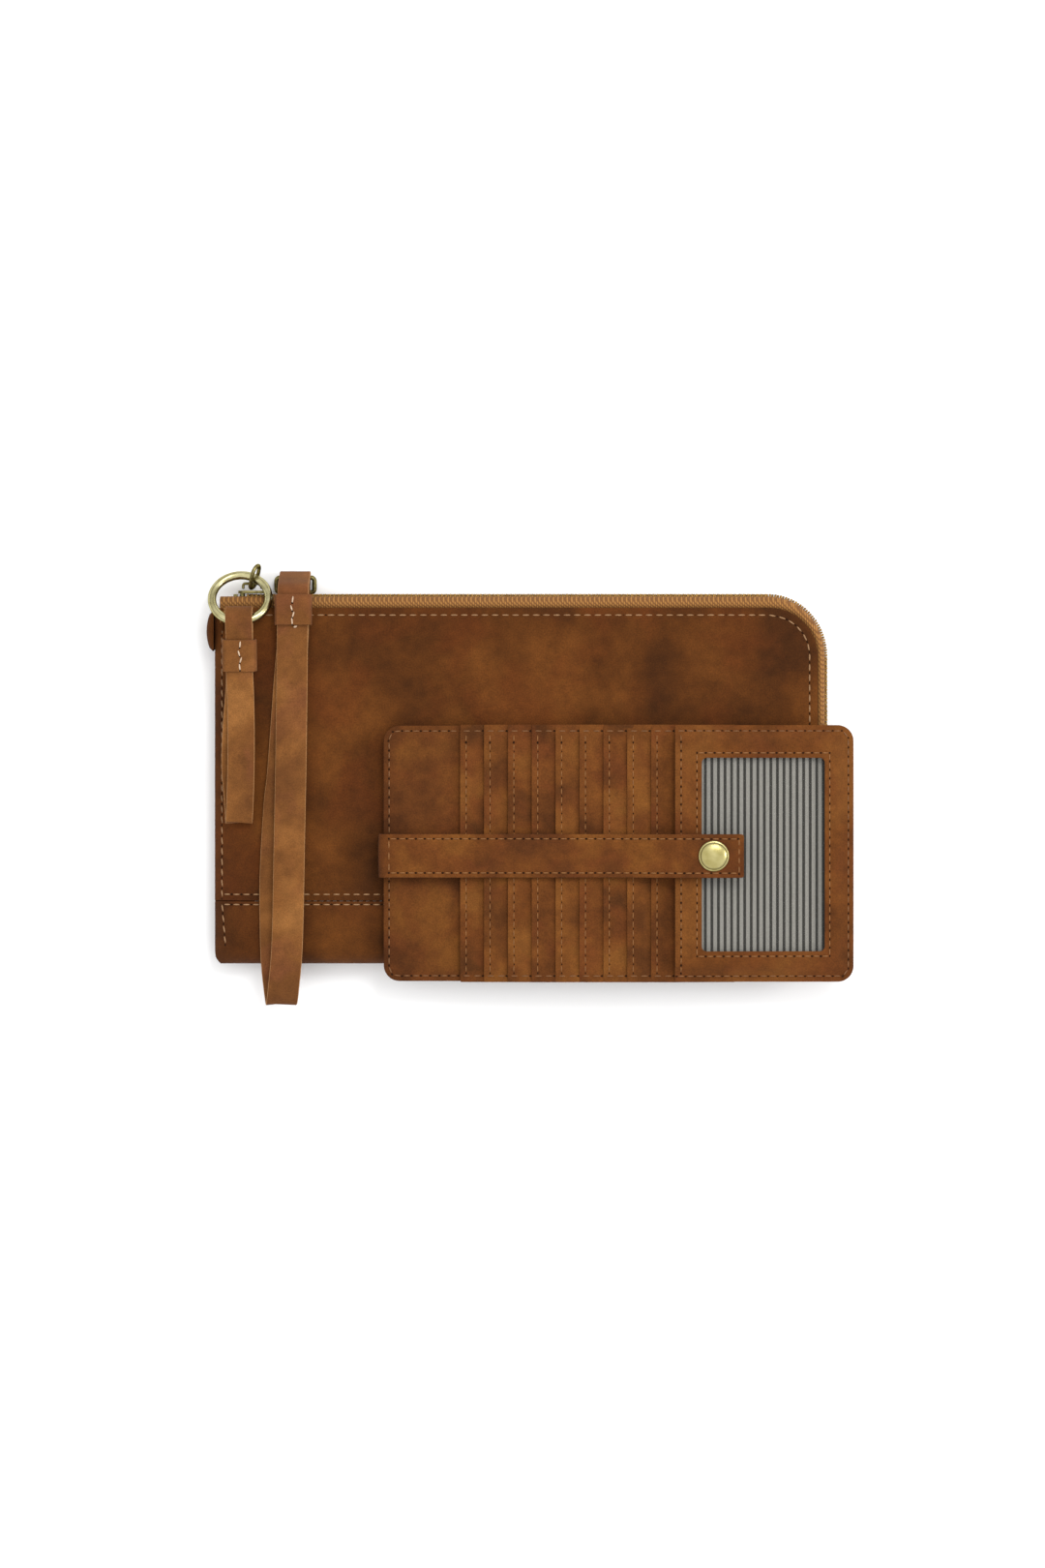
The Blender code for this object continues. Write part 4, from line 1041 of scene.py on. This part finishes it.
def sheet_xy(u, v, left, right, low, high, radii):
    """Rounded-rectangle position: rows bunch up in the corners and shorten to their arcs."""
    bottom_left, bottom_right, top_right, top_left = radii
    radius = max(radii)
    share = 0.12  # of the rows at each end
    if v < share:
        y = low + radius * (1 - math.cos(math.pi / 2 * v / share))
    elif v > 1 - share:
        y = high - radius * (1 - math.cos(math.pi / 2 * (1 - v) / share))
    else:
        y = low + radius + (high - low - 2 * radius) * (v - share) / (1 - 2 * share)

    def inset_of(r_low, r_high):
        r, near = (r_low, y - low) if y < (low + high) / 2 else (r_high, high - y)
        if near >= r:
            return 0.0
        return r - math.sqrt(max(0.0, r * r - (r - near) ** 2))

    start = left + inset_of(bottom_left, top_left)
    end = right - inset_of(bottom_right, top_right)
    return start + (end - start) * u, y


def wallet_sheet(name, left, right, low, high, radii, height, thickness, columns, rows, edge=0.3):
    """A sheet of the wallet: a rounded rectangle whose top is height(x, y)."""

    def surface(u, v):
        x, y = sheet_xy(u, v, left, right, low, high, radii)
        return x, y, height(x, y)

    return slab(name, columns, rows, surface, thickness, edge, 2, True)


round_all = (W_RADIUS,) * 4
cover = wallet_sheet("wallet_cover", W_LEFT, W_RIGHT, W_LOW, W_HIGH, round_all,
                     lambda x, y: cover_high.z, 1.0, 60, 40, 0.35)
done(cover, wallet_leather, "card_wallet", "wallet_leather", "wallet_back_cover")
base = wallet_sheet("wallet_base", W_LEFT, W_RIGHT - 0.3, W_LOW, W_HIGH, round_all,
                    base_z, 0.75, 120, 70, 0.35)
done(base, wallet_leather, "card_wallet", "wallet_leather", "wallet_base_panel")

# Pockets, from hides that differ a little: which of the three each one is cut from
POCKET_HIDES = (0, 1, 0, 2, 1, 2, 0, 1, 2)
for index, hide in enumerate(POCKET_HIDES):
    low, high = pocket_boxes[index]
    pocket = wallet_sheet("pocket_leather_%d" % (index + 1), low.x, high.x, W_LOW - 0.35, W_HIGH + 0.35,
                          (0.5,) * 4, lambda x, y, k=index: pocket_z(k, x, y), POCKET_LEATHER, 36, 80, 0.18)
    done(pocket, pocket_leathers[hide], "card_wallet", "wallet_leather", "card_pocket_%d" % (index + 1))

panel = wallet_sheet("window_panel", FRAME_X, W_RIGHT, W_LOW - 0.2, W_HIGH + 0.2,
                     (0.5, W_RADIUS, W_RADIUS, 0.5), panel_z, 1.1, 90, 110, 0.0)

# The window is cut out round a tongue that carries the snap's stud
TONGUE, WINDOW_CORNER = 6.6, 2.0
snap_low, snap_high = mm_box("snap_cap")
SNAP_X, SNAP_Y = (snap_low.x + snap_high.x) / 2 - 0.25, (snap_low.y + snap_high.y) / 2
west, east = WINDOW_LEFT + WINDOW_CORNER, WINDOW_RIGHT - WINDOW_CORNER
south, north = WINDOW_LOW + WINDOW_CORNER, WINDOW_HIGH - WINDOW_CORNER
opening = [Vector((WINDOW_LEFT, SNAP_Y - TONGUE))]
for corner, start in (((west, south), 180), ((east, south), 270), ((east, north), 360), ((west, north), 450)):
    opening += turn_between(corner, WINDOW_CORNER, start, start + 90, 6)
opening.append(Vector((WINDOW_LEFT, SNAP_Y + TONGUE)))
opening += turn_between((SNAP_X, SNAP_Y), TONGUE, 90, -90)
cutter = drawn("window_cutter", [(point.x, point.y, 16) for point in opening])
edit(cutter, (bpy.ops.mesh.edge_face_add, {}), (bpy.ops.mesh.extrude_region_move, pushed((0, 0, 14 * MM))))
outward(cutter)
applied(panel, "BOOLEAN", operation="DIFFERENCE", solver="EXACT", object=cutter)
bpy.data.objects.remove(cutter)
applied(panel, "BEVEL", width=0.25 * MM, segments=2, limit_method="ANGLE", angle_limit=math.radians(50))
done(panel, frame_leather, "card_wallet", "wallet_leather", "window_frame")


def vinyl_z(x, y):
    """Clear sheet just under the window panel, wavy where it spans the opening."""
    return min(frame_plane(x, 1.75) + dents(x, y, 15.0, 0.35, 9.1), panel_z(x, y) - 1.2)


def cloth_z(x, y):
    """Lining under the clear sheet, above the wallet's base."""
    free = frame_plane(x, 0.5) + dents(x, y, 18.0, 0.12, 4.1)
    return max(base_high.z + 0.65, min(free, panel_z(x, y) - 1.5))


def window_backing(name, margin, corner, height, thickness):
    """A sheet behind the window, wider than its opening by a sewn margin."""
    return wallet_sheet(name, WINDOW_LEFT - margin, WINDOW_RIGHT + margin, WINDOW_LOW - margin,
                        WINDOW_HIGH + margin, (corner,) * 4, height, thickness, 40, 50, 0.0)


window = window_backing("window_sheet", 2.2, 1, vinyl_z, 0.25)
done(window, vinyl, "card_wallet", "clear_vinyl", "window_vinyl")
CLOTH_MARGIN = 5.2
cloth = window_backing("window_lining_cloth", CLOTH_MARGIN, 0.3, cloth_z, 0.3)
done(cloth, lining_cloth, "card_wallet", "striped_lining", "window_lining")

# Cloth bag inside the pouch
bag_low, bag_high = mm_box("lining_bag")
BAG_LEFT = LEFT + 15
BAG_HALF = (bag_high.z - bag_low.z) / 2
BAG_TURN = bag_low.y + BAG_HALF
BAG_LEG = bag_high.y - BAG_TURN
BAG_RUN = 2 * BAG_LEG + math.pi * BAG_HALF


def bag_surface(u, v):
    x = BAG_LEFT + (bag_high.x - BAG_LEFT) * u
    run = BAG_RUN * (1 - v)
    if run < BAG_LEG:
        return x, bag_high.y - run, bag_high.z
    if run > BAG_RUN - BAG_LEG:
        return x, bag_high.y - (BAG_RUN - run), bag_low.z
    turn = (run - BAG_LEG) / BAG_HALF
    return x, BAG_TURN - BAG_HALF * math.sin(turn), MID_Z + BAG_HALF * math.cos(turn)


bag = slab("pouch_lining_cloth", 40, 70, bag_surface, 0.3, 0.0)
done(bag, lining_cloth, "pouch", "striped_lining", "lining_bag")

# ---------------------------------------------------------------- wallet stitching

OUTER_INSET, OUTER_PITCH, WALLET_THREAD = 2.1, 3.6, 0.5
low_row, high_row = W_LOW + OUTER_INSET, W_HIGH - OUTER_INSET
low_turn, high_turn = W_LOW + W_RADIUS, W_HIGH - W_RADIUS


def outer_row(end, side, edge):
    """The row round one end of the wallet: along the top, down the end and back along the foot."""
    centre = edge - side * W_RADIUS
    facing = 180 if side < 0 else 0
    row = line_between((end, high_row), (centre, high_row))
    row += turn_between((centre, high_turn), W_RADIUS - OUTER_INSET, 90, facing, 6)[1:]
    row += line_between((edge - side * OUTER_INSET, high_turn - 1), (edge - side * OUTER_INSET, low_turn + 1))
    row += turn_between((centre, low_turn), W_RADIUS - OUTER_INSET, facing, 270 if side < 0 else -90, 6)
    return row + line_between((centre - side, low_row), (end, low_row))


wallet_rows = Stitching()
wallet_rows.row("brown", outer_row(pocket_lefts[0] - 0.8, -1, W_LEFT), wallet_top, OUTER_PITCH,
                width=WALLET_THREAD)
edges = pocket_lefts + [FRAME_X]
for start, end in zip(edges, edges[1:]):
    for y in (high_row, low_row):
        wallet_rows.row("brown", line_between((start + 0.6, y), (end - 0.5, y)), wallet_top, 3.1,
                        width=WALLET_THREAD)
wallet_rows.row("brown", outer_row(FRAME_X + 0.6, 1, W_RIGHT), wallet_top, OUTER_PITCH, width=WALLET_THREAD)
for left in edges:
    seam_x = left + POCKET_SEAM
    wallet_rows.row("tan", line_between((seam_x, W_HIGH - 3.2), (seam_x, W_LOW + 3.2)), wallet_top, 3.4,
                    width=0.42)
# Rows round the window, which stop beside the snap
row_left, row_right = WINDOW_LEFT - WINDOW_SEAM, WINDOW_RIGHT + WINDOW_SEAM
row_low, row_high = WINDOW_LOW - WINDOW_SEAM, WINDOW_HIGH + WINDOW_SEAM
sides = [
    ((row_left, row_high), (row_right, row_high)), ((row_right, row_high), (row_right, row_low)),
    ((row_right, row_low), (row_left, row_low)), ((row_left, row_low), (row_left, SNAP_Y - 8)),
    ((row_left, SNAP_Y + 8), (row_left, row_high)),
]
for start, end in sides:
    wallet_rows.row("tan", line_between(start, end), wallet_top, 3.3, width=WALLET_THREAD)
wallet_rows.make("wallet", "card_wallet", "wallet_leather", {"brown": brown_thread, "tan": tan_thread})

# ---------------------------------------------------------------- snap strap

flap_low, flap_high = mm_box("snap_strap")
anchor_low, anchor_high = mm_box("strap_anchor")
FLAP = 1.2
FLAP_LEVEL = FRAME_TOP + 3.0
HINGE_X = flap_low.x + FLAP / 2
FLAP_Y = (flap_low.y + flap_high.y) / 2
FLAP_WIDE = flap_high.y - flap_low.y
FLAP_END = flap_high.x

# Centreline (x, z): from under the wallet, round its left edge and over the pockets to the snap
under_z, top_z = anchor_low.z + 0.6, flap_low.z
flap_line = [
    (anchor_high.x, under_z), (HINGE_X + 12, under_z), (HINGE_X + 2.2, under_z + 0.02),
    (HINGE_X + 0.25, under_z + 0.9), (HINGE_X, under_z + 2.8), (HINGE_X + 0.1, top_z + 2.0),
    (HINGE_X + 1.6, top_z + 3.15), (HINGE_X + 5.0, top_z + 3.3), (-20.0, top_z + 3.35), (10.0, top_z + 3.4),
    (36.0, top_z + 3.55), (47.0, top_z + 4.4), (56.0, top_z + 6.4),
    (62.0, frame_plane(62.0, FLAP_LEVEL) - 0.35), (68.0, frame_plane(68.0, FLAP_LEVEL)),
    (SNAP_X, frame_plane(SNAP_X, FLAP_LEVEL)), (FLAP_END, frame_plane(FLAP_END, FLAP_LEVEL)),
]
STEPS_BETWEEN = 14
last = len(flap_line) - 1
flap_fine = []
for i in range(last):
    a, b, c, d = (Vector(flap_line[min(last, max(0, i + k))]) for k in (-1, 0, 1, 2))
    flap_fine += [curve(a, b, c, d, k / STEPS_BETWEEN) for k in range(STEPS_BETWEEN)]
flap_fine.append(Vector(flap_line[-1]))
flap_run = run_along(flap_fine)


def on_flap(run):
    """Centreline point (x, z) and direction at a distance along the snap strap."""
    run = min(flap_run[-1], max(0.0, run))
    at = int(np.searchsorted(flap_run, run)) - 1
    at = min(len(flap_fine) - 2, max(0, at))
    share = (run - flap_run[at]) / max(TINY, flap_run[at + 1] - flap_run[at])
    return flap_fine[at].lerp(flap_fine[at + 1], share), (flap_fine[at + 1] - flap_fine[at]).normalized()


FLAP_INSET = 1.9


def flap_surface(u, v):
    """The strap's upper face: slightly padded, pressed in along its two rows of stitches."""
    along = flap_run[-1] * u
    spot, ahead = on_flap(along)
    normal = Vector((-ahead.y, ahead.x))
    round_end = max(0.0, 1.2 - (flap_run[-1] - along)) ** 2 * 0.25
    half = FLAP_WIDE / 2 - round_end
    side = 2 * v - 1
    puff = 0.22 * (1 - side ** 6) - groove(abs(side) * FLAP_WIDE / 2 - FLAP_WIDE / 2 + FLAP_INSET, 0.1, 0.5)
    spot = spot + normal * (FLAP / 2 + puff)
    return spot.x, FLAP_Y + side * half, spot.y


flap = slab("snap_strap_leather", 220, 30, flap_surface, 1.35, 0.32, 3)
done(flap, flap_leather, None, "wallet_leather", "snap_strap", "strap_anchor")
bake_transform(flap)

upper_run = [point for point in flap_fine if point.y >= flap_low.z + 2.6]


def flap_top(x, y):
    """Height of the strap's upper face above the wallet."""
    return min(upper_run, key=lambda point: abs(point.x - x)).y + FLAP / 2 + 0.12


flap_rows = Stitching()
edge_low, edge_high = FLAP_Y - FLAP_WIDE / 2 + FLAP_INSET, FLAP_Y + FLAP_WIDE / 2 - FLAP_INSET
start_x, end_x = HINGE_X + 3.4, FLAP_END - FLAP_INSET
flap_row = line_between((start_x, edge_high), (end_x, edge_high))
flap_row += line_between((end_x, edge_high - 0.5), (end_x, edge_low + 0.5))
flap_row += line_between((end_x, edge_low), (start_x, edge_low))
flap_rows.row("brown", flap_row, flap_top, 3.5, width=0.5)
flap_rows.row("brown", line_between((start_x, edge_low), (start_x, edge_high)), flap_top, 3.4, width=0.5)
flap_rows.make("snap_strap", "snap_strap", "wallet_leather", {"brown": tan_thread})

# Snap cap: a rolled rim and a low dome
cap_middle = (SNAP_X + 0.25, SNAP_Y, frame_plane(SNAP_X, FLAP_LEVEL) + FLAP / 2 + 0.25)
snap_at = Matrix.Translation(cap_middle) @ Matrix.Rotation(FRAME_TILT, 4, "Y")
DOME_RADIUS, DOME_RISE, RIM_TOP = 5.3, 1.5, 0.72
cap_profile = [(0.0, -0.4), (5.5, -0.4), (5.85, -0.2), (6.0, 0.15), (5.9, 0.5), (5.62, 0.66), (5.4, 0.62),
               (DOME_RADIUS, RIM_TOP)]
for degrees in range(10, 90, 8):
    turn = math.radians(degrees)
    cap_profile.append((DOME_RADIUS * math.cos(turn), RIM_TOP + DOME_RISE * math.sin(turn)))
cap_profile.append((0.0, 2.24))
cap = spun("snap_cap_brass", cap_profile, snap_at)
done(cap, snap_brass, "snap_strap", "antique_brass", "snap_cap", angle=60)

for node, coating in (("slider_body", dark_brass), ("top_stop", dark_brass), ("bottom_stop", dark_brass),
                      ("ring_tab", band_leather), ("snap_socket", dark_brass), ("snap_stud", dark_brass)):
    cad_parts[node].material_slots[0].material = coating

# ---------------------------------------------------------------- floor, light and camera

deselect()
bpy.ops.mesh.primitive_plane_add(size=6.0, location=(0, 0, -0.0004))
floor = bpy.context.object
floor.name = "studio_floor"
white, white_tree, white_shader = new_material("matt_white_paper")
wire(white_tree, white_shader, {}, {"Base Color": hex_colour("#FBFBFB"), "Roughness": 0.9})
floor.data.materials.append(white)
floor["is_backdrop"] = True

world = bpy.data.worlds.new("studio_world")
world.use_nodes = True
sky_tree = world.node_tree
backdrop = wire(sky_tree, sky_tree.nodes["Background"], {}, {"Color": (1, 1, 1, 1), "Strength": 1.0})
# Light comes mostly from above, as from a broad ceiling softbox, and falls off to the horizon
sky_place = add(sky_tree, "ShaderNodeTexCoord")
sky_split = add(sky_tree, "ShaderNodeSeparateXYZ", {"Vector": (sky_place, "Generated")})
sky_tone = add(sky_tree, "ShaderNodeValToRGB", {"Fac": (sky_split, "Z")},
               stops=[(0.0, 0.22), (0.25, 0.5), (0.6, 1.0)])
ceiling = add(sky_tree, "ShaderNodeBackground", {"Color": (sky_tone, "Color")}, {"Strength": 1.3})
eye = add(sky_tree, "ShaderNodeLightPath")
seen = add(sky_tree, "ShaderNodeMixShader", {0: (eye, "Is Camera Ray"), 1: (ceiling, 0), 2: (backdrop, 0)})
wire(sky_tree, sky_tree.nodes["World Output"], {"Surface": (seen, 0)}, {})
bpy.context.scene.world = world


def soft_light(name, place, aim, size, power):
    data = bpy.data.lights.new(name, "AREA")
    data.shape = "DISK"
    data.size = size
    data.energy = power
    lamp = bpy.data.objects.new(name, data)
    bpy.context.scene.collection.objects.link(lamp)
    lamp.location = place
    lamp.rotation_euler = (Vector(aim) - Vector(place)).to_track_quat("-Z", "Y").to_euler()


soft_light("key", (0.4, 0.75, 1.15), (0, 0, 0), 0.6, 7.0)
soft_light("side", (1.1, 0.1, 0.6), (0, 0, 0), 0.35, 4.0)

camera_data = bpy.data.cameras.new("camera")
LENS, SENSOR, FIELD_HEIGHT = 85, 36, 615.6
camera_data.lens = LENS
camera_data.sensor_width = SENSOR
camera = bpy.data.objects.new("camera", camera_data)
bpy.context.scene.collection.objects.link(camera)
# Straight above, so far off that the sensor's long side takes in the field's height
camera.location = (2.66 * MM, 0.76 * MM, (FIELD_HEIGHT * LENS / SENSOR + POUCH_TOP_Z) * MM)
bpy.context.scene.camera = camera
bpy.context.scene.view_settings.view_transform = "Standard"

low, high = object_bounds()
